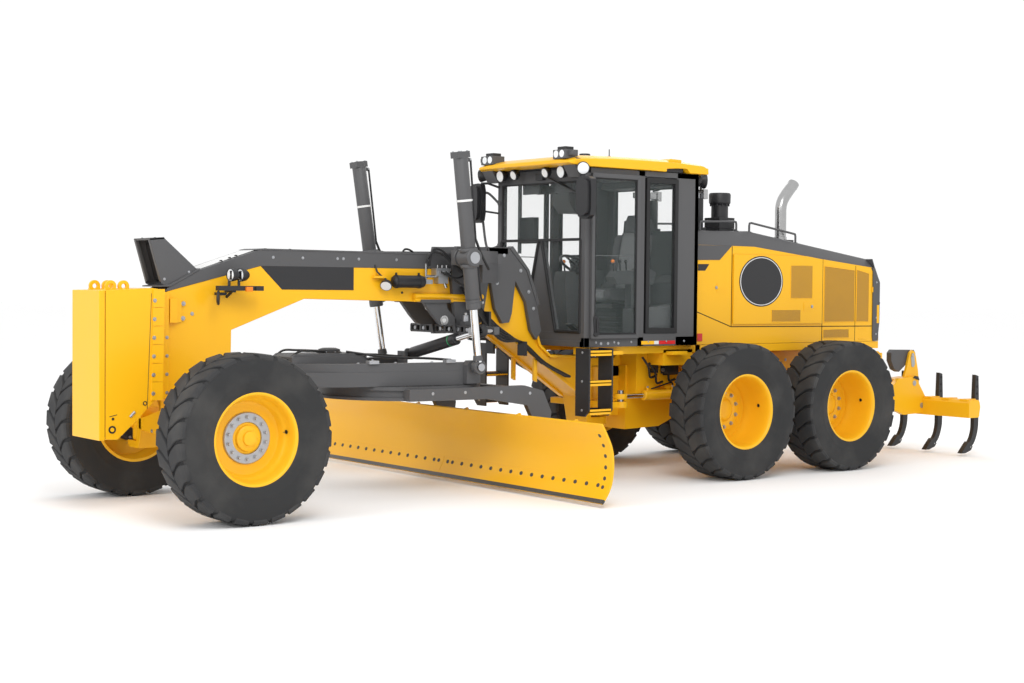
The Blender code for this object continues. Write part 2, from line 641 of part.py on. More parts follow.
carve(side_cylinder, tube("side_shift_bore", [(-3.09, -0.66, 0.447), (-3.09, 0.80, 0.447)], 0.0185, 12))
paint(side_cylinder, "black")

# ---- rear frame ---------------------------------------------------------------------------------
rear_frame = box("rear_frame", (REAR_END, REAR_FRONT), (-REAR_HALF, REAR_HALF), (REAR_LOW, 1.24))
tongue = box("tongue", (REAR_FRONT - 0.02, HITCH_X), (-0.115, 0.115), (HITCH_LOW + HITCH_EAR + 0.005, HITCH_HIGH - HITCH_EAR - 0.005))
knob = tube(
    "tongue_end",
    [(HITCH_X, 0, HITCH_LOW + HITCH_EAR + 0.005), (HITCH_X, 0, HITCH_HIGH - HITCH_EAR - 0.005)], 0.1155, 24,
)
pin = tube("hitch_pin", [(HITCH_X, 0, HITCH_LOW), (HITCH_X, 0, HITCH_HIGH)], HITCH_PIN_RADIUS, 24)
belly = prism(
    "belly", [(-4.74, 0.44), (-4.74, 1.10), (-5.60, 1.10), (-5.60, 0.62), (-5.20, 0.46)], -0.22, 0.22, "y",
)
deck = box("deck", (-8.15, -5.33), (-DECK_HALF, DECK_HALF), (1.22, DECK_TOP))
cab_arms = []
for side in (1, -1):
    low, high = sorted((side * 0.45, side * 0.60))
    cab_arms.append(box(f"cab_arm_{side}", (-5.40, -3.86), (low, high), (1.225, DECK_TOP)))
    low, high = sorted((side * 0.30, side * 0.60))
    cab_arms.append(box(f"cab_outrigger_{side}", (-5.30, -4.90), (low, high), (1.10, 1.26)))
    low, high = sorted((side * 0.30, side * 0.50))
    cab_arms.append(box(f"steer_lug_{side}", (-5.34, -5.24), (low, high), (0.74, 0.95)))
bumper = box("bumper", (-8.40, -8.08), (-0.42, 0.42), (0.62, 1.18))
weld(rear_frame, tongue, knob, pin, belly, deck, *cab_arms, bumper)
paint(rear_frame, "yellow")

for side, word in ((1, "left"), (-1, "right")):
    line_y = side * STEER_ARM_Y
    barrel = tube(f"articulation_cylinder_{word}", [(-5.24 + GAP, line_y, STEER_ARM_Z), (-4.80, line_y, STEER_ARM_Z)], 0.05, 16)
    carve(barrel, tube(f"art_bore_{word}", [(-5.20, line_y, STEER_ARM_Z), (-4.70, line_y, STEER_ARM_Z)], 0.0255, 12))
    paint(barrel, "yellow")
    rod_eye = (HITCH_X, line_y, STEER_ARM_Z)
    rod = tube(f"articulation_rod_{word}", [(-5.00, line_y, STEER_ARM_Z), (HITCH_X - 0.045, line_y, STEER_ARM_Z)], 0.025, 12, rod_eye)
    weld(rod, tube(f"art_ring_{word}", [(HITCH_X, line_y, 0.772), (HITCH_X, line_y, 0.828)], 0.068, 16))
    carve(rod, tube(f"art_eye_cut_{word}", [(HITCH_X, line_y, 0.70), (HITCH_X, line_y, 0.90)], 0.047, 16))
    paint(rod, "chrome")

# ---- tandem axle --------------------------------------------------------------------------------
tandem = tube("tandem_axle", [(TANDEM_X, -0.66, HUB_Z), (TANDEM_X, 0.66, HUB_Z)], 0.125, 20)
parts = [box("axle_housing", (TANDEM_X - 0.24, TANDEM_X + 0.24), (-0.30, 0.30), (0.47, REAR_LOW - GAP))]
case_side = round_end((REAR_AXLE, HUB_Z), TANDEM_HALF_Z, 90, 270, 8)
case_side += round_end((MID_AXLE, HUB_Z), TANDEM_HALF_Z, -90, 90, 8)
for side in (1, -1):
    low, high = sorted((side * TANDEM_IN, side * TANDEM_OUT))
    parts.append(prism(f"tandem_case_{side}", case_side, low, high, "y"))
    for station in (MID_AXLE, REAR_AXLE):
        face = WHEEL_Y + REAR_DISC - DISC - GAP
        parts.append(tube(
            f"hub_{side}_{station}", [(station, side * 0.80, HUB_Z), (station, side * face, HUB_Z)], 0.16, 20,
        ))
weld(tandem, *parts)
paint(tandem, "yellow")

# ---- engine, hood and hood doors ----------------------------------------------------------------
engine = box("engine_block", (-7.55, -5.75), (-0.34, 0.34), (DECK_TOP + GAP, 2.05))
paint(engine, "iron")


def shrink(outline, by):
    """The same outline with every side moved inwards."""
    count = len(outline)
    middle = Vector((sum(p[0] for p in outline) / count, sum(p[1] for p in outline) / count))
    lines = []
    for i in range(count):
        a = Vector(outline[i])
        b = Vector(outline[(i + 1) % count])
        normal = Vector((a.y - b.y, b.x - a.x)).normalized()
        if normal.dot(middle - a) < 0:
            normal = -normal
        lines.append((a + normal * by, (b - a).normalized()))
    out = []
    for i in range(count):
        p, d = lines[i - 1]
        q, e = lines[i]
        cross = d.x * e.y - d.y * e.x
        t = ((q.x - p.x) * e.y - (q.y - p.y) * e.x) / cross
        out.append((p.x + d.x * t, p.y + d.y * t))
    return out


hood = prism("engine_hood", HOOD_SIDE, -HOOD_HALF, HOOD_HALF, "y")
room = shrink(HOOD_SIDE, HOOD_WALL)
room = [(x, 1.20 if z < 1.4 else z) for x, z in room]
room_cut = prism("hood_room", room, -HOOD_HALF + HOOD_WALL, HOOD_HALF - HOOD_WALL, "y")
EXHAUST = (-6.87, 0.30)
INTAKE = (-5.95, 0.30)
exhaust_pad = box("exhaust_pad", (EXHAUST[0] - 0.10, EXHAUST[0] + 0.10), (0.20, 0.40), (2.34, 2.395))
intake_pad = box("intake_pad", (INTAKE[0] - 0.12, INTAKE[0] + 0.12), (0.18, 0.42), (2.44, 2.485))
carve(hood, room_cut)
weld(hood, exhaust_pad, intake_pad)
for side in (1, -1):
    low, high = sorted((side * (HOOD_HALF - 0.05), side * (HOOD_HALF + 0.05)))
    cut = box(f"hood_opening_{side}", HOOD_DOOR_X, (low, high), HOOD_DOOR_Z)
    modifier = hood.modifiers.new(f"opening_{side}", "BOOLEAN")
    modifier.operation = "DIFFERENCE"
    modifier.solver = "EXACT"
    modifier.object = helper(cut)
paint(hood, "yellow")
for side, word in ((1, "left"), (-1, "right")):
    low, high = sorted((side * (HOOD_HALF + GAP), side * (HOOD_HALF + GAP + DOOR_THICK)))
    front = HOOD_DOOR_X[1] + DOOR_LAP
    hinge = (front, side * (HOOD_HALF + GAP + DOOR_THICK), 0.5 * sum(HOOD_DOOR_Z))
    door = box(
        f"hood_door_{word}", (HOOD_DOOR_X[0] - DOOR_LAP, front), (low, high),
        (HOOD_DOOR_Z[0] - DOOR_LAP, HOOD_DOOR_Z[1] + DOOR_LAP), hinge,
    )
    paint(door, "yellow")
exhaust = tube(
    "exhaust_stack",
    [(EXHAUST[0], EXHAUST[1], 2.3955), (EXHAUST[0], EXHAUST[1], 2.78), (-6.92, EXHAUST[1], 2.86), (-7.10, EXHAUST[1], 3.03)],
    0.062, 14,
)
paint(exhaust, "chrome")
intake = tube("air_intake", [(INTAKE[0], INTAKE[1], 2.4855), (INTAKE[0], INTAKE[1], 2.72)], 0.09, 16)
weld(intake, tube("intake_cap", [(INTAKE[0], INTAKE[1], 2.70), (INTAKE[0], INTAKE[1], 2.86)], 0.115, 16))
paint(intake, "black")

# ---- cab ----------------------------------------------------------------------------------------
cab = box("cab_frame", (CAB_REAR, CAB_FRONT), (-CAB_HALF, CAB_HALF), (CAB_LOW, CAB_TOP))
cuts = [box(
    "cab_room", (CAB_REAR + CAB_WALL, CAB_FRONT - CAB_WALL), (-CAB_HALF + CAB_WALL, CAB_HALF - CAB_WALL),
    (CAB_FLOOR, CAB_TOP - 0.05),
)]
for side in (1, -1):
    low, high = sorted((side * (CAB_HALF - 0.10), side * (CAB_HALF + 0.10)))
    cuts.append(box(f"cab_doorway_{side}", CAB_DOOR_X, (low, high), CAB_DOOR_Z))
    cuts.append(box(f"cab_side_hole_{side}", SIDE_WINDOW_X, (low, high), SIDE_WINDOW_Z))
cuts.append(box("cab_front_hole", (CAB_FRONT - 0.2, CAB_FRONT + 0.1), (-FRONT_WINDOW_Y, FRONT_WINDOW_Y), FRONT_WINDOW_Z))
cuts.append(box("cab_rear_hole", (CAB_REAR - 0.1, CAB_REAR + 0.2), (-REAR_WINDOW_Y, REAR_WINDOW_Y), REAR_WINDOW_Z))
carve(cab, *cuts)
weld(cab, prism("cab_console", [(-4.12, 1.34), (-4.26, 1.34), (-4.22, 1.95), (-4.06, 2.02)], -0.09, 0.09, "y"))
paint(cab, "grey")

roof = prism(
    "cab_roof",
    [(-3.60, CAB_TOP + GAP), (-3.58, 3.06), (-3.75, 3.115), (-4.5, ROOF_TOP), (-5.35, 3.10), (-5.37, CAB_TOP + GAP)],
    -0.73, 0.73, "y",
)
paint(roof, "yellow")


def pane(name, x, y, z):
    return paint(box(name, x, y, z), "glass")


g = GLASS_GAP
middle_front = CAB_FRONT - 0.5 * CAB_WALL
pane(
    "windshield", (middle_front - GLASS / 2, middle_front + GLASS / 2), (-FRONT_WINDOW_Y + g, FRONT_WINDOW_Y - g),
    (FRONT_WINDOW_Z[0] + g, FRONT_WINDOW_Z[1] - g),
)
middle_rear = CAB_REAR + 0.5 * CAB_WALL
pane(
    "rear_window", (middle_rear - GLASS / 2, middle_rear + GLASS / 2), (-REAR_WINDOW_Y + g, REAR_WINDOW_Y - g),
    (REAR_WINDOW_Z[0] + g, REAR_WINDOW_Z[1] - g),
)
for side, word in ((1, "left"), (-1, "right")):
    middle = CAB_HALF - 0.5 * CAB_WALL
    low, high = sorted((side * (middle - GLASS / 2), side * (middle + GLASS / 2)))
    pane(
        f"side_window_{word}", (SIDE_WINDOW_X[0] + g, SIDE_WINDOW_X[1] - g), (low, high),
        (SIDE_WINDOW_Z[0] + g, SIDE_WINDOW_Z[1] - g),
    )
    low, high = sorted((side * (CAB_HALF + GAP), side * (CAB_HALF + GAP + CAB_DOOR_THICK)))
    rear = CAB_DOOR_X[0] - DOOR_LAP
    front = CAB_DOOR_X[1] + DOOR_LAP
    bottom = CAB_DOOR_Z[0] - DOOR_LAP
    top = CAB_DOOR_Z[1] + DOOR_LAP
    hinge = (rear, side * (CAB_HALF + GAP + CAB_DOOR_THICK), 0.5 * (bottom + top))
    door = box(f"cab_door_{word}", (rear, front), (low, high), (bottom, top), hinge)
    light_x = (rear + CAB_DOOR_FRAME, front - CAB_DOOR_FRAME)
    light_z = (bottom + CAB_DOOR_FRAME, top - CAB_DOOR_FRAME)
    carve(door, box(f"cab_door_cut_{word}", light_x, (low - 0.05, high + 0.05), light_z))
    paint(door, "grey")
    middle = CAB_HALF + GAP + 0.5 * CAB_DOOR_THICK
    low, high = sorted((side * (middle - GLASS / 2), side * (middle + GLASS / 2)))
    glass = box(
        f"door_glass_{word}", (light_x[0] + g, light_x[1] - g), (low, high), (light_z[0] + g, light_z[1] - g), hinge,
    )
    paint(glass, "glass")

seat = box("operator_seat", (-4.98, -4.62), (-0.20, 0.20), (CAB_FLOOR + GAP, 1.72))
cushion = box("seat_cushion", (-5.00, -4.48), (-0.26, 0.26), (1.71, 1.86))
back = prism("seat_back", [(-4.88, 1.80), (-5.02, 1.80), (-5.12, 2.62), (-5.01, 2.62)], -0.25, 0.25, "y")
weld(seat, cushion, back)
paint(seat, "fabric")

# ---- ladders ------------------------------------------------------------------------------------
for side, word in ((1, "left"), (-1, "right")):
    low, high = sorted((side * (CAB_HALF + 0.02), side * 0.90))
    ladder = box(f"ladder_{word}", (-3.70, -3.68), (low, high), (0.66, 1.30))
    rail = box(f"ladder_rail_{word}", (-3.98, -3.96), (low, high), (0.66, 1.30))
    steps = []
    for number, z in enumerate((0.70, 0.97, 1.25)):
        steps.append(box(f"ladder_step_{word}_{number}", (-3.97, -3.69), (low, high), (z, z + 0.03)))
    inner, outer = sorted((side * (0.60 + GAP), side * (CAB_HALF + 0.03)))
    hanger = box(f"ladder_hanger_{word}", (-3.98, -3.88), (inner, outer), (1.225, 1.285))
    weld(ladder, rail, *steps, hanger)
    paint(ladder, "black")

# ---- ripper -------------------------------------------------------------------------------------
ripper_mount = box("ripper_mount", (-8.44, -8.40 - GAP), (-0.42, 0.42), (0.50, 1.16))
horns = []
for side in (1, -1):
    low, high = sorted((side * 0.30, side * 0.36))
    horns.append(prism(
        f"ripper_horn_{side}",
        [(-8.42, 0.50), (-8.42, 0.74), (-8.52, 0.70), (-8.58, 0.62), (-8.52, 0.54)], low, high, "y",
    ))
    low, high = sorted((side * 0.295, side * 0.455))
    horns.append(tube(
        f"ripper_pin_{side}", [(-8.52, low, 0.62), (-8.52, high, 0.62)], 0.028, 24,
    ))
    low, high = sorted((side * 0.055, side * 0.085))
    horns.append(prism(
        f"ripper_ear_{side}", [(-8.42, 1.02), (-8.42, 1.14), (-8.52, 1.12), (-8.56, 1.07), (-8.50, 1.03)],
        low, high, "y",
    ))
horns.append(tube("ripper_top_pin", [(-8.51, -0.07, 1.075), (-8.51, 0.07, 1.075)], 0.0195, 24))
weld(ripper_mount, *horns)
paint(ripper_mount, "yellow")

hinge_at = (-8.52, 0.0, 0.62)
ripper = box("ripper_beam", RIPPER_BEAM, (-RIPPER_BEAM_HALF, RIPPER_BEAM_HALF), RIPPER_BEAM_Z, hinge_at)
extra = []
for side in (1, -1):
    low, high = sorted((side * 0.385, side * 0.45))
    extra.append(prism(
        f"ripper_side_{side}",
        [(-8.50, 0.55), (-8.46, 0.595), (-8.46, 0.645), (-8.50, 0.69), (-8.70, 0.86), (-9.00, 0.88), (-9.20, 0.62), (-9.20, 0.45), (-8.80, 0.44)],
        low, high, "y",
    ))
    low, high = sorted((side * 0.07, side * 0.10))
    extra.append(prism(
        f"ripper_lug_{side}", [(-9.16, 0.60), (-9.16, 0.74), (-9.06, 0.76), (-8.98, 0.70), (-9.10, 0.58)],
        low, high, "y",
    ))
extra.append(prism(
    "ripper_shield", [(-8.72, 0.80), (-8.72, 0.85), (-9.00, 0.87), (-9.18, 0.66), (-9.18, 0.60), (-9.00, 0.83)],
    0.20, 0.42, "y",
))
extra.append(prism(
    "ripper_shield_right", [(-8.72, 0.80), (-8.72, 0.85), (-9.00, 0.87), (-9.18, 0.66), (-9.18, 0.60), (-9.00, 0.83)],
    -0.42, -0.20, "y",
))
extra.append(tube("ripper_rod_pin", [(-9.04, -0.09, 0.70), (-9.04, 0.09, 0.70)], 0.02, 12))
for y in (-1.0, -0.5, 0.0, 0.5, 1.0):
    extra.append(prism(
        f"shank_{y}",
        [(-9.34, 0.92), (-9.40, 0.90), (-9.415, 0.60), (-9.40, 0.28), (-9.26, 0.06), (-9.10, 0.03),
         (-9.22, 0.12), (-9.32, 0.30), (-9.325, 0.60)],
        y - 0.025, y + 0.025, "y",
    ))
weld(ripper, *extra)
holes = []
for side in (1, -1):
    low, high = sorted((side * 0.36, side * 0.48))
    holes.append(tube(f"ripper_hole_{side}", [(-8.52, low, 0.62), (-8.52, high, 0.62)], 0.0284, 24))
carve(ripper, *holes)
paint(ripper, "yellow")

top = Vector((-8.51, 0, 1.075))
low_eye = Vector((-9.04, 0, 0.70))
way = (low_eye - top).normalized()
ram = tube("ripper_cylinder", [top + way * 0.03, top + way * 0.42], 0.045, 14, top)
weld(ram, tube("ram_knob", [top - Vector((0, 0.028, 0)), top + Vector((0, 0.028, 0))], 0.045, 14))
carve(
    ram,
    tube("ram_bore", [top + way * 0.10, top + way * 0.50], 0.0235, 12),
    tube("ram_hole", [top - Vector((0, 0.06, 0)), top + Vector((0, 0.06, 0))], 0.0199, 24),
)
paint(ram, "black")
rod = tube("ripper_rod", [top + way * 0.26, low_eye - way * 0.03], 0.023, 12, low_eye)
weld(rod, tube("rod_ring", [low_eye - Vector((0, 0.028, 0)), low_eye + Vector((0, 0.028, 0))], 0.05, 14))
carve(rod, tube("rod_eye_cut", [low_eye - Vector((0, 0.06, 0)), low_eye + Vector((0, 0.06, 0))], 0.034, 14))
paint(rod, "chrome")
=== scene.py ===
"""The looks of the motor grader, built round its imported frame.

Stations count from the front axle on the machine's centre line; FX and FY move them into the frame.
"""

import math

import bmesh
import bpy
from mathutils import Matrix, Vector


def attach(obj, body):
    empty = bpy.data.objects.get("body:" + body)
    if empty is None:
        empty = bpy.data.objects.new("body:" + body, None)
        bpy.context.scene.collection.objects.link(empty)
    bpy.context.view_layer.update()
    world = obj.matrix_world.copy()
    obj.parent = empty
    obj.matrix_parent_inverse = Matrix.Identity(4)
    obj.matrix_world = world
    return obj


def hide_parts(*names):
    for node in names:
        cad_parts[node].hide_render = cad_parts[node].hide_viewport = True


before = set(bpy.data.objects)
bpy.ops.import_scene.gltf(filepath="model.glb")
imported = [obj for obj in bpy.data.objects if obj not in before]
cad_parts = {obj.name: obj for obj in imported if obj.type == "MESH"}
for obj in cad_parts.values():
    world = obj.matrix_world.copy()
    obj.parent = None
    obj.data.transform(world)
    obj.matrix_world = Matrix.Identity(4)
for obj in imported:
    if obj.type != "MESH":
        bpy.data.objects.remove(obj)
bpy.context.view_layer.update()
scene = bpy.context.scene

FX = 4.281   # frame x of the front axle
FY = 0.406   # frame y of the machine's centre line: the blade is shifted this far to the right
TYRE_RADIUS = 0.675
HUB = TYRE_RADIUS * math.cos(math.pi / 24)   # the CAD tyres have 24 flats and stand on one of them
TRACK = 1.0835   # middle of a tyre from the centre line
MID = -5.39
REAR = -6.93
TANDEM_X = (MID + REAR) / 2
HITCH_X = -4.5
RAM_Y = 0.42   # articulation rams from the centre line
RAM_Z = 0.8
CIRCLE_X = -2.15
BLADE_PIN_X = -3.2
BLADE_PIN_Z = 0.3
EXHAUST_Y = 0.3
TEETH = 72
SIDES = ((1, "left"), (-1, "right"))
BOLT_PITCH = 0.1524   # six inches, along the cutting edge

# ---- materials ----------------------------------------------------------------------------------
def material(name, base, rough=0.4, metal=0.0, vary=0.06, grain=18.0, bump=0.0, bump_scale=300.0,
             rough_vary=0.08, coat=0.0, alpha=1.0, dust=0.0, spec=0.5):
    """A shader whose colour, gloss and relief all change a little over the surface."""
    mat = bpy.data.materials.new(name)
    mat.use_nodes = True
    tree = mat.node_tree
    nodes, links = tree.nodes, tree.links
    shader = nodes["Principled BSDF"]
    place = nodes.new("ShaderNodeTexCoord")
    patches = nodes.new("ShaderNodeTexNoise")
    patches.inputs["Scale"].default_value = grain
    patches.inputs["Detail"].default_value = 6.0
    patches.inputs["Roughness"].default_value = 0.6
    links.new(place.outputs["Object"], patches.inputs["Vector"])
    tint = nodes.new("ShaderNodeMix")
    tint.data_type = "RGBA"
    light = [min(1.0, c * (1 + vary)) for c in base]
    dark = [c * (1 - vary) for c in base]
    tint.inputs[6].default_value = (*dark, 1)
    tint.inputs[7].default_value = (*light, 1)
    links.new(patches.outputs["Fac"], tint.inputs[0])
    colour = tint.outputs[2]
    if dust:
        cloud = nodes.new("ShaderNodeTexNoise")
        cloud.inputs["Scale"].default_value = grain * 0.35
        cloud.inputs["Detail"].default_value = 9.0
        links.new(place.outputs["Object"], cloud.inputs["Vector"])
        reach = nodes.new("ShaderNodeMapRange")
        reach.inputs["From Min"].default_value = 0.45
        reach.inputs["From Max"].default_value = 0.75
        reach.inputs["To Max"].default_value = dust
        links.new(cloud.outputs["Fac"], reach.inputs["Value"])
        over = nodes.new("ShaderNodeMix")
        over.data_type = "RGBA"
        over.inputs[7].default_value = (0.32, 0.3, 0.27, 1)
        links.new(reach.outputs["Result"], over.inputs[0])
        links.new(colour, over.inputs[6])
        colour = over.outputs[2]
    links.new(colour, shader.inputs["Base Color"])
    gloss = nodes.new("ShaderNodeMapRange")
    gloss.inputs["To Min"].default_value = max(0.02, rough - rough_vary)
    gloss.inputs["To Max"].default_value = min(1.0, rough + rough_vary)
    links.new(patches.outputs["Fac"], gloss.inputs["Value"])
    links.new(gloss.outputs["Result"], shader.inputs["Roughness"])
    shader.inputs["Metallic"].default_value = metal
    if coat:
        shader.inputs["Coat Weight"].default_value = coat
        shader.inputs["Coat Roughness"].default_value = 0.12
    if bump:
        fine = nodes.new("ShaderNodeTexNoise")
        fine.inputs["Scale"].default_value = bump_scale
        fine.inputs["Detail"].default_value = 3.0
        links.new(place.outputs["Object"], fine.inputs["Vector"])
        relief = nodes.new("ShaderNodeBump")
        relief.inputs["Strength"].default_value = bump
        relief.inputs["Distance"].default_value = 0.002
        links.new(fine.outputs["Fac"], relief.inputs["Height"])
        links.new(relief.outputs["Normal"], shader.inputs["Normal"])
    if alpha < 1.0:
        shader.inputs["Alpha"].default_value = alpha
    shader.inputs["Specular IOR Level"].default_value = spec
    return mat


YELLOW = material("paint_yellow", (0.9, 0.468, 0.01), 0.34, vary=0.025, grain=2.5, bump=0.04, bump_scale=160,
                  coat=0.1, spec=0.28)
RIM = material("paint_rim", (0.86, 0.465, 0.014), 0.38, vary=0.03, grain=5, bump=0.04, bump_scale=160,
               coat=0.06, spec=0.28)
GREY = material("paint_grey", (0.088, 0.088, 0.091), 0.46, vary=0.05, grain=3, bump=0.08, bump_scale=220,
                spec=0.3)
DARK = material("paint_dark", (0.028, 0.028, 0.03), 0.42, vary=0.08, grain=6, bump=0.06, bump_scale=200,
                spec=0.3)
PLASTIC = material("black_plastic", (0.014, 0.014, 0.016), 0.45, vary=0.12, grain=9, bump=0.15,
                   bump_scale=700)
TYRE = material("tyre_rubber", (0.019, 0.0195, 0.0205), 0.82, vary=0.16, grain=7, bump=0.3, bump_scale=240,
                dust=0.1)
TREAD = material("tread_rubber", (0.024, 0.0245, 0.026), 0.8, vary=0.18, grain=10, bump=0.3, bump_scale=200,
                 dust=0.1)
# darker copy of the tyre rubber for the grooves between the lugs: painted shade
GROOVE_SHADE = material("groove_painted_shade", (0.012, 0.012, 0.013), 0.85, vary=0.2, grain=12, bump=0.3, bump_scale=200)
HOSE = material("hose_rubber", (0.012, 0.012, 0.013), 0.5, vary=0.15, grain=30, bump=0.35, bump_scale=500)
CHROME = material("chrome", (0.86, 0.87, 0.88), 0.1, metal=1.0, vary=0.02, grain=14, rough_vary=0.04)
STEEL = material("brushed_steel", (0.42, 0.42, 0.42), 0.24, metal=1.0, vary=0.1, grain=14, rough_vary=0.08)
ZINC = material("zinc_bolts", (0.42, 0.43, 0.45), 0.42, metal=0.8, vary=0.1, grain=60, bump=0.1,
                bump_scale=500)
IRON = material("cast_iron", (0.075, 0.072, 0.07), 0.62, metal=0.4, vary=0.15, grain=12, bump=0.5,
                bump_scale=180)
WORN = material("worn_edge", (0.13, 0.125, 0.12), 0.5, metal=0.7, vary=0.2, grain=25, bump=0.3,
                bump_scale=220)
SEAL = material("window_seal", (0.008, 0.008, 0.009), 0.6, vary=0.1, grain=40, bump=0.2, bump_scale=600)
TRIM = material("cab_trim", (0.062, 0.064, 0.067), 0.6, vary=0.1, grain=14, bump=0.3, bump_scale=500)
TRIM_PALE = material("cab_trim_pale", (0.2, 0.205, 0.21), 0.62, vary=0.08, grain=14, bump=0.3, bump_scale=500)
FABRIC = material("seat_cloth", (0.1, 0.1, 0.105), 0.92, vary=0.2, grain=90, bump=0.8, bump_scale=900)
LENS = material("lamp_lens", (0.8, 0.82, 0.83), 0.12, vary=0.08, grain=60, bump=0.5, bump_scale=130)
AMBER = material("amber_lens", (0.85, 0.22, 0.01), 0.2, vary=0.08, grain=60, bump=0.4, bump_scale=200)
RED = material("red_lens", (0.62, 0.01, 0.012), 0.2, vary=0.08, grain=60, bump=0.4, bump_scale=200)
GREEN = material("green_cap", (0.02, 0.3, 0.1), 0.4, vary=0.1, grain=40)
WHITE = material("white_mark", (0.75, 0.75, 0.74), 0.45, vary=0.03, grain=20)
GLASS = material("cab_glass", (0.3, 0.36, 0.35), 0.03, vary=0.03, grain=2, rough_vary=0.01, alpha=0.055)
SMOKE = material("smoked_glass", (0.1, 0.115, 0.12), 0.04, vary=0.05, grain=2, rough_vary=0.01, alpha=0.55)
MESH = material("grille_mesh", (0.62, 0.31, 0.006), 0.5, vary=0.1, grain=8, bump=0.3, bump_scale=300)
# near-black: painted shade in holes, slots and gaps between parts, and the dark seams of the hood panels
SHADE_AND_SEAM = material("painted_shade_and_seam", (0.006, 0.006, 0.006), 0.9, vary=0.2, grain=20)

# ---- shape helpers ------------------------------------------------------------------------------
def spline(points, per=6):
    """A smooth line through the points."""
    pts = [Vector(p) for p in points]
    if len(pts) < 3:
        return pts
    out = []
    ext = [pts[0] * 2 - pts[1]] + pts + [pts[-1] * 2 - pts[-2]]
    for i in range(1, len(ext) - 2):
        a, b, c, d = ext[i - 1:i + 3]
        for k in range(per):
            t = k / per
            line = (2 * b) + (c - a) * t
            bend = (2 * a - 5 * b + 4 * c - d) * t * t
            out.append(0.5 * (line + bend + (3 * b - a - 3 * c + d) * t ** 3))
    out.append(pts[-1])
    return out


def arc(cx, cy, r, start, stop, count):
    """Points round a circle, from one angle in degrees to another."""
    out = []
    for i in range(count + 1):
        t = math.radians(start + (stop - start) * i / count)
        out.append((cx + r * math.cos(t), cy + r * math.sin(t)))
    return out


PUT = {"y": lambda a, b, c: (a, c, b), "x": lambda a, b, c: (c, a, b), "z": lambda a, b, c: (a, b, c)}


def disc(radius, high):
    """Turned outline of a plain disc."""
    return [(0, 0), (radius, 0), (radius, high), (0, high)]


def eye_ring(bore, shoulder, radius, half, inner_half):
    """Turned outline of a cylinder's eye, its outer edges chamfered."""
    return [(bore, -half), (shoulder, -half), (radius, -inner_half), (radius, inner_half), (shoulder, half),
            (bore, half)]


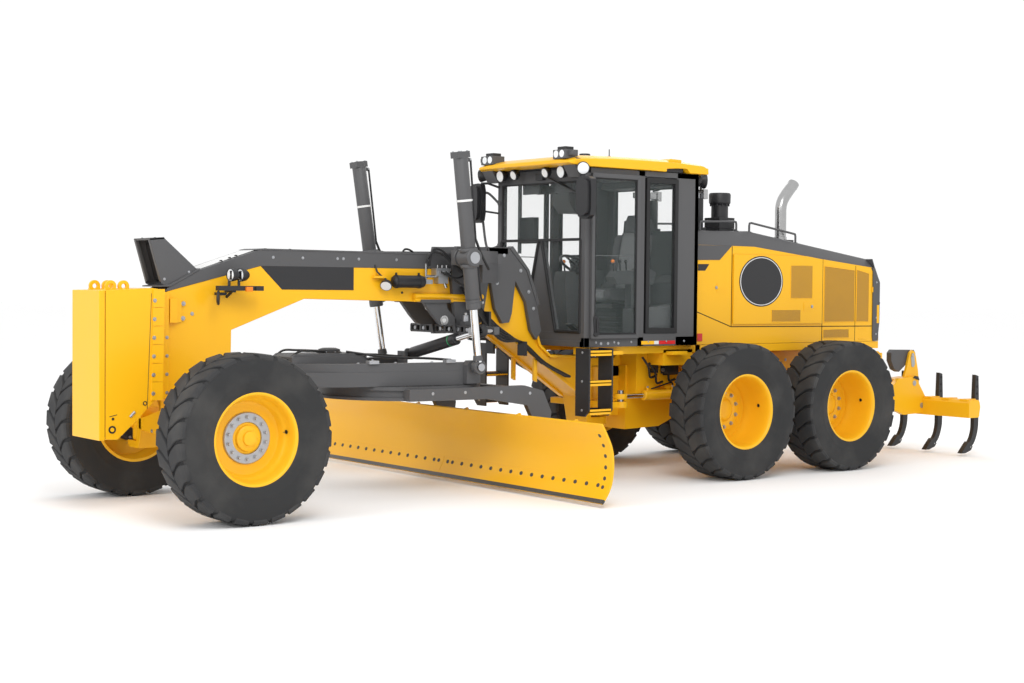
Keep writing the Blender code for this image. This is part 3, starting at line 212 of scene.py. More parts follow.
class Kit:
    """Gathers shapes into one mesh; each shape has its own material."""

    def __init__(self):
        self.bm = bmesh.new()
        self.mats = []

    def slot_of(self, mat):
        """The index of a material on this mesh."""
        if mat not in self.mats:
            self.mats.append(mat)
        return self.mats.index(mat)

    def faces(self, verts, faces, mat):
        index = self.slot_of(mat)
        made = [self.bm.verts.new((v[0] + FX, v[1] + FY, v[2])) for v in verts]
        for f in faces:
            try:
                face = self.bm.faces.new([made[i] for i in f])
            except ValueError:
                continue   # two of its corners are the same point
            face.material_index = index
            face.smooth = True

    def prism(self, outline, low, high, along, mat):
        """An outline drawn out along x, y or z."""
        n = len(outline)
        verts = [PUT[along](a, b, low) for a, b in outline] + [PUT[along](a, b, high) for a, b in outline]
        pairs = zip(outline, outline[1:] + outline[:1])
        area = sum(a[0] * b[1] - b[0] * a[1] for a, b in pairs)
        flip = (area < 0) != (along == "y")
        ends = [tuple(range(n)), tuple(range(n, 2 * n))]
        faces = [tuple(reversed(ends[0])), ends[1]] if not flip else [ends[0], tuple(reversed(ends[1]))]
        for i in range(n):
            j = (i + 1) % n
            quad = (i, j, n + j, n + i)
            faces.append(quad if not flip else tuple(reversed(quad)))
        self.faces(verts, faces, mat)
        return self

    def box(self, x, y, z, mat):
        x, y, z = sorted(x), sorted(y), sorted(z)
        return self.prism([(x[0], z[0]), (x[1], z[0]), (x[1], z[1]), (x[0], z[1])], y[0], y[1], "y", mat)

    def tube(self, points, radius, mat, sides=12):
        """A round bar along the points; its sides don't twist."""
        pts = [Vector(p) for p in points]
        radii = radius if isinstance(radius, (list, tuple)) else [radius] * len(pts)
        n = len(pts)
        first = (pts[1] - pts[0]).normalized()
        across = first.cross(Vector((0, 1, 0)))
        if across.length < 0.2:
            across = first.cross(Vector((0, 0, 1)))
        across.normalize()
        verts, faces = [], []
        for i, point in enumerate(pts):
            before = (point - pts[i - 1]).normalized() if i else (pts[1] - pts[0]).normalized()
            after = (pts[i + 1] - point).normalized() if i + 1 < n else before
            way = (before + after)
            way = way.normalized() if way.length > 1e-6 else before
            across = (across - way * across.dot(way)).normalized()
            other = way.cross(across)
            for k in range(sides):
                t = 2 * math.pi * k / sides
                verts.append(point + (across * math.cos(t) + other * math.sin(t)) * radii[i])
        for i in range(n - 1):
            for k in range(sides):
                m = (k + 1) % sides
                faces.append((i * sides + k, i * sides + m, (i + 1) * sides + m, (i + 1) * sides + k))
        faces.append(tuple(reversed(range(sides))))
        faces.append(tuple(range((n - 1) * sides, n * sides)))
        self.faces(verts, faces, mat)
        return self

    def hose(self, points, radius, per):
        return self.tube(spline(points, per), radius, HOSE, 8)

    def rod(self, a, b, radius, mat, sides=20):
        return self.tube([a, b], radius, mat, sides)

    def lathe(self, profile, at, axis, mat, steps=32, ring=False):
        """Pairs of (radius, distance along the axis) turned round it. A ring profile closes on itself."""
        axis = Vector(axis).normalized()
        helper = Vector((0, 0, 1)) if abs(axis.z) < 0.9 else Vector((1, 0, 0))
        u = axis.cross(helper).normalized()
        v = axis.cross(u)
        at = Vector(at)
        verts, faces, rows = [], [], []
        for r, h in profile:
            if r < 1e-6:
                rows.append([len(verts)])
                verts.append(at + axis * h)
                continue
            rows.append(list(range(len(verts), len(verts) + steps)))
            for k in range(steps):
                t = 2 * math.pi * k / steps
                verts.append(at + axis * h + (u * math.cos(t) + v * math.sin(t)) * r)
        pairs = list(zip(rows, rows[1:]))
        if ring:
            pairs.append((rows[-1], rows[0]))
        for one, two in pairs:
            for k in range(steps):
                m = (k + 1) % steps
                if len(one) == 1 and len(two) == 1:
                    continue
                if len(one) == 1:
                    faces.append((one[0], two[k], two[m]))
                elif len(two) == 1:
                    faces.append((one[k], two[0], one[m]))
                else:
                    faces.append((one[k], two[k], two[m], one[m]))
        self.faces(verts, faces, mat)
        return self

    def bolt(self, at, axis, radius, mat=None, height=None):
        """A hexagon head on a washer."""
        mat = mat or ZINC
        height = height or radius * 0.75
        at, axis = Vector(at), Vector(axis).normalized()
        self.lathe([(0, 0), (radius * 1.45, 0), (radius * 1.45, height * 0.3), (0, height * 0.3)], at, axis,
                   mat, 16)
        self.lathe([(0, height * 0.25), (radius, height * 0.25), (radius, height),
                    (radius * 0.86, height * 1.15), (0, height * 1.15)], at, axis, mat, 6)
        return self

    def ball(self, at, radius, mat, steps=16):
        profile = [(radius * math.sin(math.pi * i / 8),
                    -radius * math.cos(math.pi * i / 8)) for i in range(9)]
        profile[0] = (0, -radius)
        profile[-1] = (0, radius)
        return self.lathe(profile, at, (0, 0, 1), mat, steps)

    def make(self, name, body, bevel=0.004, segments=2, angle=38, replaces=None):
        bmesh.ops.recalc_face_normals(self.bm, faces=self.bm.faces)
        mesh = bpy.data.meshes.new(name)
        self.bm.to_mesh(mesh)
        self.bm.free()
        mesh.set_sharp_from_angle(angle=math.radians(angle))
        for mat in self.mats:
            mesh.materials.append(mat)
        obj = bpy.data.objects.new(name, mesh)
        scene.collection.objects.link(obj)
        if bevel:
            mod = obj.modifiers.new("edges", "BEVEL")
            mod.width = bevel
            mod.segments = segments
            mod.limit_method = "ANGLE"
            mod.angle_limit = math.radians(angle)
            mod.use_clamp_overlap = True
            mod.harden_normals = True
        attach(obj, body)
        if replaces:
            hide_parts(*([replaces] if isinstance(replaces, str) else replaces))
        return obj


def cut(obj, cutters):
    """Takes the cutters' room out of a piece, before its edges are rounded."""
    for number, (x, y, z) in enumerate(cutters):
        kit = Kit()
        kit.box(x, y, z, SHADE_AND_SEAM)
        mesh = bpy.data.meshes.new("cutter")
        bmesh.ops.recalc_face_normals(kit.bm, faces=kit.bm.faces)
        kit.bm.to_mesh(mesh)
        kit.bm.free()
        tool = bpy.data.objects.new("cutter", mesh)
        scene.collection.objects.link(tool)
        held = [m for m in obj.modifiers if m.type == "BEVEL"]
        mod = obj.modifiers.new(f"cut_{number}", "BOOLEAN")
        mod.operation = "DIFFERENCE"
        mod.solver = "EXACT"
        mod.object = tool
        if held:
            obj.modifiers.move(len(obj.modifiers) - 1, len(obj.modifiers) - 2)
        CUTTERS.append((obj, mod, tool))
    return obj


CUTTERS = []


def settle_cuts():
    """Bakes every cut into its mesh and removes the cutting shapes."""
    for obj in {id(o): o for o, _, _ in CUTTERS}.values():
        bevels = [m for m in obj.modifiers if m.type == "BEVEL"]
        for m in bevels:
            m.show_viewport = False
        graph = bpy.context.evaluated_depsgraph_get()
        graph.update()
        mesh = bpy.data.meshes.new_from_object(obj.evaluated_get(graph), depsgraph=graph)
        for m in [m for m in obj.modifiers if m.type == "BOOLEAN"]:
            obj.modifiers.remove(m)
        obj.data = mesh
        mesh.set_sharp_from_angle(angle=math.radians(38))
        for m in bevels:
            m.show_viewport = True
    for _, _, tool in CUTTERS:
        bpy.data.objects.remove(tool, do_unlink=True)
    CUTTERS.clear()

# ---- tyres and rims -----------------------------------------------------------------------------
TREAD_TOP = 0.669
LUGS = 25


def crown(w):
    """Tread radius at a distance from the tyre's middle."""
    a = abs(w)
    if a < 0.185:
        return TREAD_TOP - 0.003 * (a / 0.185) ** 2
    t = (a - 0.185) / 0.037
    return TREAD_TOP - 0.003 - 0.026 * t * t


def tyre(name, x, side, body, node):
    """A turned casing with two rows of bent lugs."""
    kit = Kit()
    centre = (x, side * TRACK, HUB)
    wall = [(0.353, -0.168), (0.366, -0.186), (0.395, -0.197), (0.42, -0.204), (0.452, -0.211),
            (0.458, -0.2135), (0.466, -0.2125), (0.5, -0.2185), (0.54, -0.2215), (0.575, -0.2222),
            (0.608, -0.2215), (0.632, -0.2165), (0.645, -0.203), (0.649, -0.18), (0.65, -0.14),
            (0.651, -0.07), (0.651, 0.0)]
    profile = wall + [(r, -h) for r, h in reversed(wall[:-1])]
    kit.lathe(profile, centre, (0, 1, 0), TYRE, 96, ring=True)
    # the casing's crown between the lugs takes the groove rubber: painted shade in the grooves
    groove_shade = kit.slot_of(GROOVE_SHADE)
    for face in kit.bm.faces:
        c = face.calc_center_median()
        r = math.hypot(c.x - FX - centre[0], c.z - centre[2])
        if r > 0.641:
            face.material_index = groove_shade
    pitch = 2 * math.pi / LUGS
    path = [(0.004, -0.02, 0.37), (0.045, 0.16, 0.42), (0.09, 0.36, 0.425), (0.125, 0.5, 0.42),
            (0.16, 0.58, 0.41), (0.188, 0.62, 0.4), (0.207, 0.64, 0.385), (0.2165, 0.65, 0.36)]
    for half in (1, -1):
        for i in range(LUGS):
            base_angle = pitch * (i + (0.5 if half < 0 else 0.0))
            verts, faces = [], []
            for w, shift, wide in path:
                top = crown(w)
                if w > 0.2:
                    top = {0.207: 0.6575, 0.2165: 0.636}[w]
                floor_r = 0.642 if w < 0.17 else (0.636 if w < 0.2 else top - 0.03)
                if w > 0.21:
                    floor_r = 0.608
                outer_w = w if w < 0.188 else {0.188: 0.193, 0.207: 0.215, 0.2165: 0.2236}[w]
                ring = []
                for r, k in ((floor_r, -1.08), (top - 0.006, -1.0), (top, -0.9), (top, 0.9),
                             (top - 0.006, 1.0), (floor_r, 1.08)):
                    t = base_angle + pitch * (shift + wide * k)
                    ring.append((r, t, outer_w if r > floor_r else w - 0.004))
                start = len(verts)
                for r, t, ww in ring:
                    verts.append((centre[0] + r * math.cos(t), centre[1] + half * ww,
                                  centre[2] + r * math.sin(t)))
                if start:
                    for k in range(5):
                        a, b = start - 6 + k, start + k
                        faces.append((a, a + 1, b + 1, b))
            faces.append((0, 1, 2, 3, 4, 5))
            last = len(verts) - 6
            faces.append(tuple(last + k for k in reversed(range(6))))
            kit.faces(verts, faces, TREAD)
    kit.make(name, body, bevel=0, angle=32, replaces=node)


def rim(name, x, side, body, node, front):
    """A turned rim with its hub and a circle of bolts; the rear discs sit deeper."""
    kit = Kit()
    centre = (x, side * TRACK, HUB)
    out = (0, side, 0)
    web = 0.0 if front else -0.15
    lip = [(0.35, 0.15), (0.3515, 0.166), (0.3705, 0.171), (0.3725, 0.18), (0.37, 0.1865), (0.358, 0.188),
           (0.349, 0.183), (0.343, 0.172), (0.338, 0.16), (0.3345, 0.145)]
    barrel_in = [(0.331, 0.12), (0.326, 0.09), (0.312, 0.07), (0.3, 0.055), (0.296, web + 0.022)]
    if not front:
        barrel_in = [(0.3315, 0.11), (0.33, 0.02), (0.326, -0.03), (0.316, -0.07), (0.302, -0.105),
                     (0.29, web + 0.026)]
    plate = [(0.288, web + 0.008), (0.262, web + 0.004), (0.235, web + 0.01), (0.205, web + 0.012),
             (0.175, web + 0.012)]
    back = [(0.175, web - 0.012), (0.28, web - 0.015), (0.315, web - 0.03), (0.328, -0.12), (0.334, -0.16),
            (0.345, -0.186), (0.368, -0.187), (0.372, -0.178), (0.352, -0.17), (0.3505, -0.12)]
    if not front:
        back = [(0.175, web - 0.004), (0.28, web - 0.004), (0.318, web + 0.012), (0.33, web + 0.004),
                (0.338, -0.165), (0.345, -0.186), (0.368, -0.187), (0.372, -0.178), (0.352, -0.17),
                (0.3505, -0.12)]
    kit.lathe(lip + barrel_in + plate + back, centre, out, RIM, 72, ring=True)
    if front:
        kit.lathe([(0.205, web - 0.01), (0.205, web + 0.022), (0.198, web + 0.03), (0.128, web + 0.03),
                   (0.124, web + 0.02), (0.124, web - 0.01)], centre, out, ZINC, 60, ring=True)
        kit.lathe([(0, web + 0.088), (0.048, web + 0.088), (0.056, web + 0.083), (0.06, web + 0.065),
                   (0.092, web + 0.058), (0.1, web + 0.052), (0.106, web + 0.025), (0.128, web + 0.018),
                   (0.128, web - 0.01), (0, web - 0.01)], centre, out, RIM, 48)
        ring_r, count, size = 0.166, 14, 0.0125
        for k in range(6):
            t = 2 * math.pi * k / 6
            kit.bolt((centre[0] + 0.078 * math.cos(t), centre[1] + side * (web + 0.058),
                      centre[2] + 0.078 * math.sin(t)), out, 0.007, RIM)
        level = web + 0.03
    else:
        kit.lathe([(0.225, web + 0.002), (0.223, web + 0.018), (0.215, web + 0.024), (0.128, web + 0.024),
                   (0.12, web + 0.018), (0.115, web + 0.002)], centre, out, RIM, 60, ring=True)
        kit.lathe([(0, web + 0.05), (0.075, web + 0.05), (0.092, web + 0.046), (0.104, web + 0.034),
                   (0.12, web + 0.02), (0.18, web + 0.01), (0.18, web + 0.002), (0, web + 0.002)], centre,
                  out, RIM, 48)
        ring_r, count, size = 0.17, 10, 0.014
        level = web + 0.024
    for k in range(count):
        t = 2 * math.pi * (k + 0.5) / count
        at = (centre[0] + ring_r * math.cos(t), centre[1] + side * level, centre[2] + ring_r * math.sin(t))
        kit.bolt(at, out, size, ZINC, size * 1.3)
    # the tyre valve, with a near-black disc of painted shade for its slot in the barrel
    t = 0.12
    r, deep = (0.318, 0.085) if front else (0.329, 0.03)
    at = Vector((centre[0] - r * math.cos(t), centre[1] + side * deep, centre[2] + r * math.sin(t)))
    kit.lathe([(0, -0.004), (0.016, -0.004), (0.017, 0.004), (0, 0.0045)], at, (math.cos(t), 0, -math.sin(t)),
              SHADE_AND_SEAM, 12)
    kit.rod(at, at + Vector((0.03 * math.cos(t), side * 0.01, 0)), 0.0045, STEEL, 8)
    kit.make(name, body, bevel=0, angle=40, replaces=node)


for word, x, side, front in (("front_left", 0, 1, True), ("front_right", 0, -1, True),
                             ("mid_left", MID, 1, False), ("mid_right", MID, -1, False),
                             ("rear_left", REAR, 1, False), ("rear_right", REAR, -1, False)):
    tyre(f"tyre_look_{word}", x, side, f"wheel_{word}", f"tyre_{word}")
    rim(f"rim_look_{word}", x, side, f"wheel_{word}", f"rim_{word}", front)

# ---- front frame --------------------------------------------------------------------------------
BODY = "front_frame"
k = Kit()
k.prism([(0.22, 0.9), (0.22, 1.808), (-0.638, 2.026), (-2.98, 2.026), (-3.2, 2.055), (-3.42, 1.865),
         (-3.56, 1.6), (-3.66, 1.3), (-3.8, 1.19), (-4.3, 1.17), (-4.35, 1.17), (-4.35, 0.5), (-4.3, 0.5),
         (-4.24, 0.79), (-3.28, 1.41), (-3.07, 1.536), (-2.84, 1.712), (-1.07, 1.746), (-0.367, 1.484),
         (-0.36, 0.9)], -0.16, 0.16, "y", YELLOW)
k.box((-0.53, -0.35), (-0.05, 0.05), (0.98, 1.1), YELLOW)
for lo, hi in ((0.5, 0.58), (1.09, 1.17)):
    k.lathe([(0.0, 0), (0.14, 0), (0.14, hi - lo), (0.0, hi - lo)], (HITCH_X, 0, lo), (0, 0, 1), YELLOW, 40)
    k.box((-4.5, -4.33), (-0.139, 0.139), (lo, hi), YELLOW)
k.rod((HITCH_X, 0, 0.47), (HITCH_X, 0, 1.2), 0.05, STEEL, 28)
k.box((-4.48, -4.32), (-0.45, 0.45), (0.69, 0.75), YELLOW)
for side in (1, -1):
    k.lathe(disc(0.07, 0.06), (HITCH_X, side * RAM_Y, 0.69), (0, 0, 1), YELLOW, 28)
    k.rod((HITCH_X, side * RAM_Y, 0.7), (HITCH_X, side * RAM_Y, 0.86), 0.034, STEEL, 20)
    # flanges that follow the lower and upper edges of the descending beam
    k.prism([(-2.86, 1.69), (-3.07, 1.512), (-3.28, 1.386), (-4.23, 0.772), (-4.23, 0.8), (-3.3, 1.41),
             (-3.09, 1.536), (-2.87, 1.715)], side * 0.13, side * 0.2, "y", YELLOW)
    k.prism([(-3.23, 2.045), (-3.44, 1.865), (-3.585, 1.6), (-3.68, 1.315), (-3.8, 1.215), (-4.2, 1.2),
             (-4.2, 1.175), (-3.8, 1.185), (-3.655, 1.3), (-3.555, 1.6), (-3.41, 1.865), (-3.2, 2.04)],
            side * 0.12, side * 0.19, "y", YELLOW)
    k.prism([(-3.6, 1.18), (-3.6, 0.97), (-3.64, 0.95), (-3.64, 1.19)], side * 0.15, side * 0.185, "y",
            YELLOW)
k.make("frame_beam", BODY, 0.006, replaces="front_frame")

k = Kit()   # grey top band, gooseneck covers
k.prism([(0.235, 1.802), (0.22, 1.83), (-0.07, 1.982), (-0.648, 2.168), (-2.98, 2.159), (-2.98, 2.024),
         (-0.638, 2.024)], -0.164, 0.164, "y", GREY)
k.prism([(-0.6, 2.162), (-0.66, 2.174), (-2.66, 2.166), (-2.66, 2.15), (-0.66, 2.158)], -0.168, 0.168, "y",
        GREY)
for side in (1, -1):
    k.prism([(-0.638, 2.026), (-0.848, 1.826), (-1.57, 1.824), (-1.57, 2.026)], side * 0.158, side * 0.1645,
            "y", DARK)
    # grey armour over the frame's rear bend
    k.prism([(-3.02, 2.235), (-3.26, 2.235), (-3.47, 2.02), (-3.6, 1.7), (-3.66, 1.45), (-3.6, 1.36),
             (-3.53, 1.45), (-3.47, 1.72), (-3.34, 1.92), (-3.3, 1.62), (-3.27, 1.53), (-3.19, 1.52),
             (-3.1, 1.66), (-3.04, 1.95)], side * 0.168, side * 0.215, "y", GREY)
    k.prism([(-3.26, 2.232), (-3.3, 2.25), (-3.5, 2.03), (-3.63, 1.7), (-3.6, 1.69), (-3.47, 2.02)],
            side * 0.15, side * 0.225, "y", GREY)
k.box((-3.02, -3.25), (-0.215, 0.215), (2.17, 2.232), GREY)
k.prism([(-3.25, 2.215), (-3.3, 2.24), (-3.5, 2.03), (-3.46, 2.01)], -0.17, 0.17, "y", GREY)
k.make("frame_covers", BODY, 0.005)

k = Kit()   # pale non-skid strip
k.prism([(-0.085, 1.9885), (-0.6, 2.156), (-0.6, 2.159), (-0.085, 1.992)], -0.11, 0.11, "y", WHITE)
k.make("frame_nonskid", BODY, 0)

k = Kit()   # bolts and plugs on the beam
for side in (1, -1):
    out = (0, side, 0)
    k.bolt((-0.004, side * 0.16, 1.622), out, 0.011)
    k.bolt((0.082, side * 0.176, 1.706), out, 0.013)
    k.bolt((0.086, side * 0.176, 1.585), out, 0.013)
    for x in (-0.76, -1.05, -1.4, -1.46, -1.62, -2.02, -2.38):
        k.bolt((x, side * 0.164, 2.1), out, 0.009)
    for x, z in ((-3.12, 1.9), (-3.4, 2.02), (-3.5, 1.82), (-3.56, 1.66), (-3.2, 2.16)):
        k.bolt((x, side * 0.215, z), out, 0.012)
    k.bolt((-2.085, side * 0.16, 1.805), out, 0.008, DARK)
for x in (-0.28, -0.36, -0.42, -0.7, -0.94):
    k.bolt((x, 0.135, 2.02 + 0.326 * (-0.16 - x) if x > -0.6 else 2.166), (0, 0, 1), 0.012, DARK)
for i in range(6):
    t = math.pi * i / 3
    k.bolt((HITCH_X + 0.1 * math.cos(t), 0.1 * math.sin(t), 1.17), (0, 0, 1), 0.014)
k.make("frame_bolts", BODY, 0)

# ---- push block ---------------------------------------------------------------------------------
k = Kit()
k.prism([(0.345, 1.826), (0.405, 1.832), (0.797, 1.812), (0.797, 0.628), (0.694, 0.622), (0.524, 0.774),
         (0.345, 0.955)], -0.262, 0.262, "y", YELLOW)
k.prism([(0.853, 1.811), (0.853, 0.622), (0.803, 0.622), (0.803, 1.814)], -0.265, 0.265, "y", YELLOW)
k.prism([(0.8, 1.79), (0.8, 0.65), (0.79, 0.65), (0.79, 1.79)], -0.255, 0.255, "y", DARK)
k.box((0.2205, 0.36), (-0.2, 0.2), (0.93, 1.8), YELLOW)
k.make("push_block_body", BODY, 0.007, replaces="push_block")

k = Kit()   # lifting eyes: ring plates with a round hole
for side in (1, -1):
    for x in (0.71, 0.6):
        ring = eye_ring(0.02, 0.045, 0.047, 0.013, 0.01)
        k.lathe(ring, (x, side * 0.155, 1.845), (0, 1, 0), YELLOW, 28, ring=True)
        k.prism([(x + 0.055, 1.812), (x + 0.044, 1.832), (x + 0.03, 1.818), (x - 0.03, 1.818),
                 (x - 0.044, 1.832), (x - 0.055, 1.812)], side * 0.142, side * 0.168, "y", YELLOW)
k.make("push_block_eyes", BODY, 0.002)

k = Kit()   # bolted squares down the rear edge, clamp on the nose, plugs
for side in (1, -1):
    out = (0, side, 0)
    y = side * 0.262
    for i in range(6):
        z1 = 1.824 - i * 0.15
        x1, x2 = 0.395 + 0.012 * i / 5, 0.395 + 0.012 * (i + 1) / 5
        k.prism([(x1, z1), (x1 - 0.1, z1), (x2 - 0.1, z1 - 0.146), (x2, z1 - 0.146)], y, y + side * 0.012,
                "y", YELLOW)
        k.bolt((x1 - 0.012, y + side * 0.012, z1 - 0.092), out, 0.0115)
    k.prism([(0.408, 1.79), (0.404, 1.79), (0.44, 0.86), (0.444, 0.86)], y, y + side * 0.002, "y", DARK)
    for i in range(5):
        k.bolt((0.24, side * 0.2, 1.43 - i * 0.15), out, 0.01)
    k.prism([(0.215, 1.745), (0.165, 1.75), (0.1, 1.74), (0.1, 1.555), (0.165, 1.545), (0.215, 1.55)],
            side * 0.158, side * 0.178, "y", YELLOW)
    k.prism([(0.215, 1.745), (0.15, 1.745), (0.15, 1.55), (0.215, 1.55)], side * 0.17, side * 0.205, "y",
            YELLOW)
    for x, z, r in ((0.742, 0.705, 0.031), (0.462, 0.905, 0.018)):
        k.lathe([(0, 0.001), (r * 0.62, 0.001), (r * 0.64, 0.004), (r, 0.005), (r, 0.0), (0, 0.0)], (x, y, z),
                out, DARK, 28)
        k.lathe([(0, 0.003), (r * 0.55, 0.003), (r * 0.55, 0.006), (0, 0.006)], (x, y, z), out, YELLOW, 24)
    k.prism([(0.765, 0.812), (0.7, 0.825), (0.7, 0.819), (0.765, 0.806)], y, y + side * 0.002, "y", DARK)
    k.bolt((0.735, y, 0.79), out, 0.008, DARK)
    k.tube([(0.59, y, 0.8), (0.55, y, 0.84)], 0.012, ZINC, 10)
k.make("push_block_bolts", BODY, 0.0015)

# ---- nose cover ---------------------------------------------------------------------------------
def on_slope(x):
    """Height of the frame's sloping top near the nose."""
    return 1.816 + (x - 0.22) * (1.975 - 1.816) / (-0.07 - 0.22)


k = Kit()
outer = [(0.265, 1.868), (0.37, 2.232), (0.245, 2.243), (-0.06, on_slope(-0.06) + 0.014),
         (0.2, on_slope(0.2) + 0.014)]
for side in (1, -1):
    k.prism(outer, side * 0.142, side * 0.15, "y", GREY)
    k.prism([(0.27, 1.885), (0.372, 2.228), (0.345, 2.23), (0.245, 1.9)], side * 0.118, side * 0.146, "y",
            GREY)
k.prism([(0.365, 2.22), (0.371, 2.236), (0.243, 2.247), (0.235, 2.232)], -0.15, 0.15, "y", GREY)
k.prism([(0.245, 2.243), (-0.06, on_slope(-0.06) + 0.014), (-0.045, on_slope(-0.045) + 0.014),
         (0.245, 2.226)], -0.146, 0.146, "y", GREY)
# a dark panel inside the cover's open front: painted shade in the hollow
k.prism([(0.27, 2.19), (0.262, 2.19), (0.18, 1.9), (0.188, 1.9)], -0.143, 0.143, "y", DARK)
k.prism([(0.285, 1.842), (0.285, 1.852), (0.2, 1.862), (-0.07, 1.998), (-0.07, 1.986), (0.19, 1.846)], -0.17,
        0.17, "y", GREY)
for side in (1, -1):
    k.bolt((0.24, side * 0.15, 1.905), (0, side, 0), 0.008)
    k.bolt((0.02, side * 0.15, 1.965), (0, side, 0), 0.008)
    k.bolt((0.31, side * 0.12, 2.2393), (0, 0, 1), 0.007, DARK)
k.bolt((0.222, 0.1, 1.95), (1, 0, 0), 0.008)
k.make("nose_hood", BODY, 0.003, replaces="nose_cover")

# ---- lamps, mirrors and valves on the nose ------------------------------------------------------
k = Kit()
for side in (1, -1):
    y = side * 0.3
    k.box((-0.58, -0.16), (side * 0.27, side * 0.33), (1.815, 1.855), DARK)
    k.box((-0.34, -0.3), (side * 0.16, side * 0.29), (1.8, 1.84), DARK)
    k.rod((-0.32, side * 0.16, 1.76), (-0.32, side * 0.29, 1.825), 0.012, DARK)
    for x in (-0.27, -0.36):
        k.rod((x, y, 1.84), (x, y, 1.9), 0.012, DARK)
        k.lathe([(0, -0.07), (0.028, -0.07), (0.046, -0.045), (0.055, -0.01), (0.056, 0.012), (0.05, 0.014)],
                (x - 0.02, y, 1.945), (1, 0.15, 0), PLASTIC, 28)
        k.box((x - 0.055, x - 0.005), (y - 0.028, y + 0.028), (1.905, 1.98), PLASTIC)
        k.lathe([(0, 0.016), (0.035, 0.014), (0.051, 0.008), (0.051, 0.0), (0, 0.0)], (x - 0.02, y, 1.945),
                (1, 0.15, 0), LENS, 28)
    k.box((-0.465, -0.405), (side * 0.325, side * 0.352), (1.808, 1.848), AMBER)
    k.box((-0.56, -0.5), (side * 0.325, side * 0.345), (1.815, 1.85), DARK)
    k.lathe([(0, 0), (0.045, 0.0), (0.058, 0.006), (0.062, 0.016), (0.055, 0.024), (0.0, 0.028)],
            (-0.15, side * 0.31, 1.755), (-0.8, side * 0.5, 0), PLASTIC, 30)
    k.tube([(-0.17, side * 0.3, 1.8), (-0.16, side * 0.31, 1.77)], 0.011, PLASTIC)
    k.box((-0.2, -0.27), (side * 0.17, side * 0.26), (1.775, 1.8), DARK)
k.make("nose_lamps", BODY, 0.003)

k = Kit()
for side in (1, -1):
    y = side * 0.232
    s = side   # accumulator, work light, valve block and conduit
    k.lathe([(0, 0), (0.034, 0.0), (0.05, 0.012), (0.056, 0.04), (0.056, 0.3), (0.05, 0.33), (0.03, 0.345),
             (0, 0.345)], (-1.935, y, 1.905), (-1, 0, 0), PLASTIC, 28)
    for x in (-1.965, -2.21):
        k.lathe([(0.058, 0), (0.061, 0.0), (0.061, 0.02), (0.058, 0.02)], (x, y, 1.905), (-1, 0, 0), DARK, 28,
                ring=True)
        k.box((x - 0.018, x), (s * 0.16, s * 0.2), (1.87, 1.94), DARK)
        k.box((x - 0.014, x), (y - 0.01, y + 0.01), (1.955, 1.985), DARK)
    # work light on its bent bracket
    k.tube([(-1.79, s * 0.165, 2.05), (-1.8, s * 0.185, 1.99), (-1.84, s * 0.19, 1.955),
            (-1.9, s * 0.19, 1.93)], 0.008, DARK, 8)
    k.prism([(-1.76, 1.95), (-1.86, 1.955), (-1.9, 1.94), (-1.9, 1.93), (-1.76, 1.935)], s * 0.165, s * 0.2,
            "y", YELLOW)
    k.rod((-1.875, s * 0.2, 1.93), (-1.872, s * 0.235, 1.895), 0.01, DARK)
    face = Vector((0.55, s * 0.55, -0.62)).normalized()
    k.lathe([(0, -0.05), (0.03, -0.05), (0.05, -0.02), (0.054, 0.008), (0.05, 0.01)],
            (-1.86, s * 0.24, 1.868), face, PLASTIC, 28)
    k.lathe([(0, 0.012), (0.048, 0.01), (0.048, 0), (0, 0)], (-1.86, s * 0.24, 1.868), face, LENS, 28)
    # fittings and valve block
    k.box((-2.285, -2.36), (s * 0.2, s * 0.25), (1.885, 1.925), ZINC)
    k.rod((-2.3, s * 0.225, 1.92), (-2.3, s * 0.225, 2.07), 0.011, STEEL)
    k.rod((-2.3, s * 0.225, 1.955), (-2.42, s * 0.225, 1.955), 0.013, STEEL)
    k.box((-2.4, -2.56), (s * 0.165, s * 0.25), (1.96, 2.03), ZINC)
    k.box((-2.43, -2.54), (s * 0.165, s * 0.24), (1.89, 1.965), ZINC)
    for x in (-2.44, -2.49, -2.54):
        k.rod((x, s * 0.25, 1.995), (x, s * 0.27, 1.995), 0.014, STEEL, 12)
        k.rod((x, s * 0.21, 2.03), (x, s * 0.21, 2.06), 0.012, STEEL, 12)
    k.rod((-2.5, s * 0.235, 1.89), (-2.51, s * 0.25, 1.85), 0.016, STEEL, 12)
    k.box((-2.62, -2.77), (s * 0.16, s * 0.2), (1.83, 1.95), DARK)
    # yellow conduit along the lower edge with a rounded end
    k.tube([(-2.2, s * 0.185, 1.776), (-2.95, s * 0.195, 1.77)], 0.026, YELLOW, 16)
    k.tube([(-2.2, s * 0.185, 1.74), (-2.95, s * 0.195, 1.733)], 0.018, YELLOW, 14)
    k.ball((-2.95, s * 0.195, 1.77), 0.027, YELLOW)
    k.ball((-2.95, s * 0.195, 1.733), 0.019, YELLOW)
k.make("frame_valves", BODY, 0.0025)

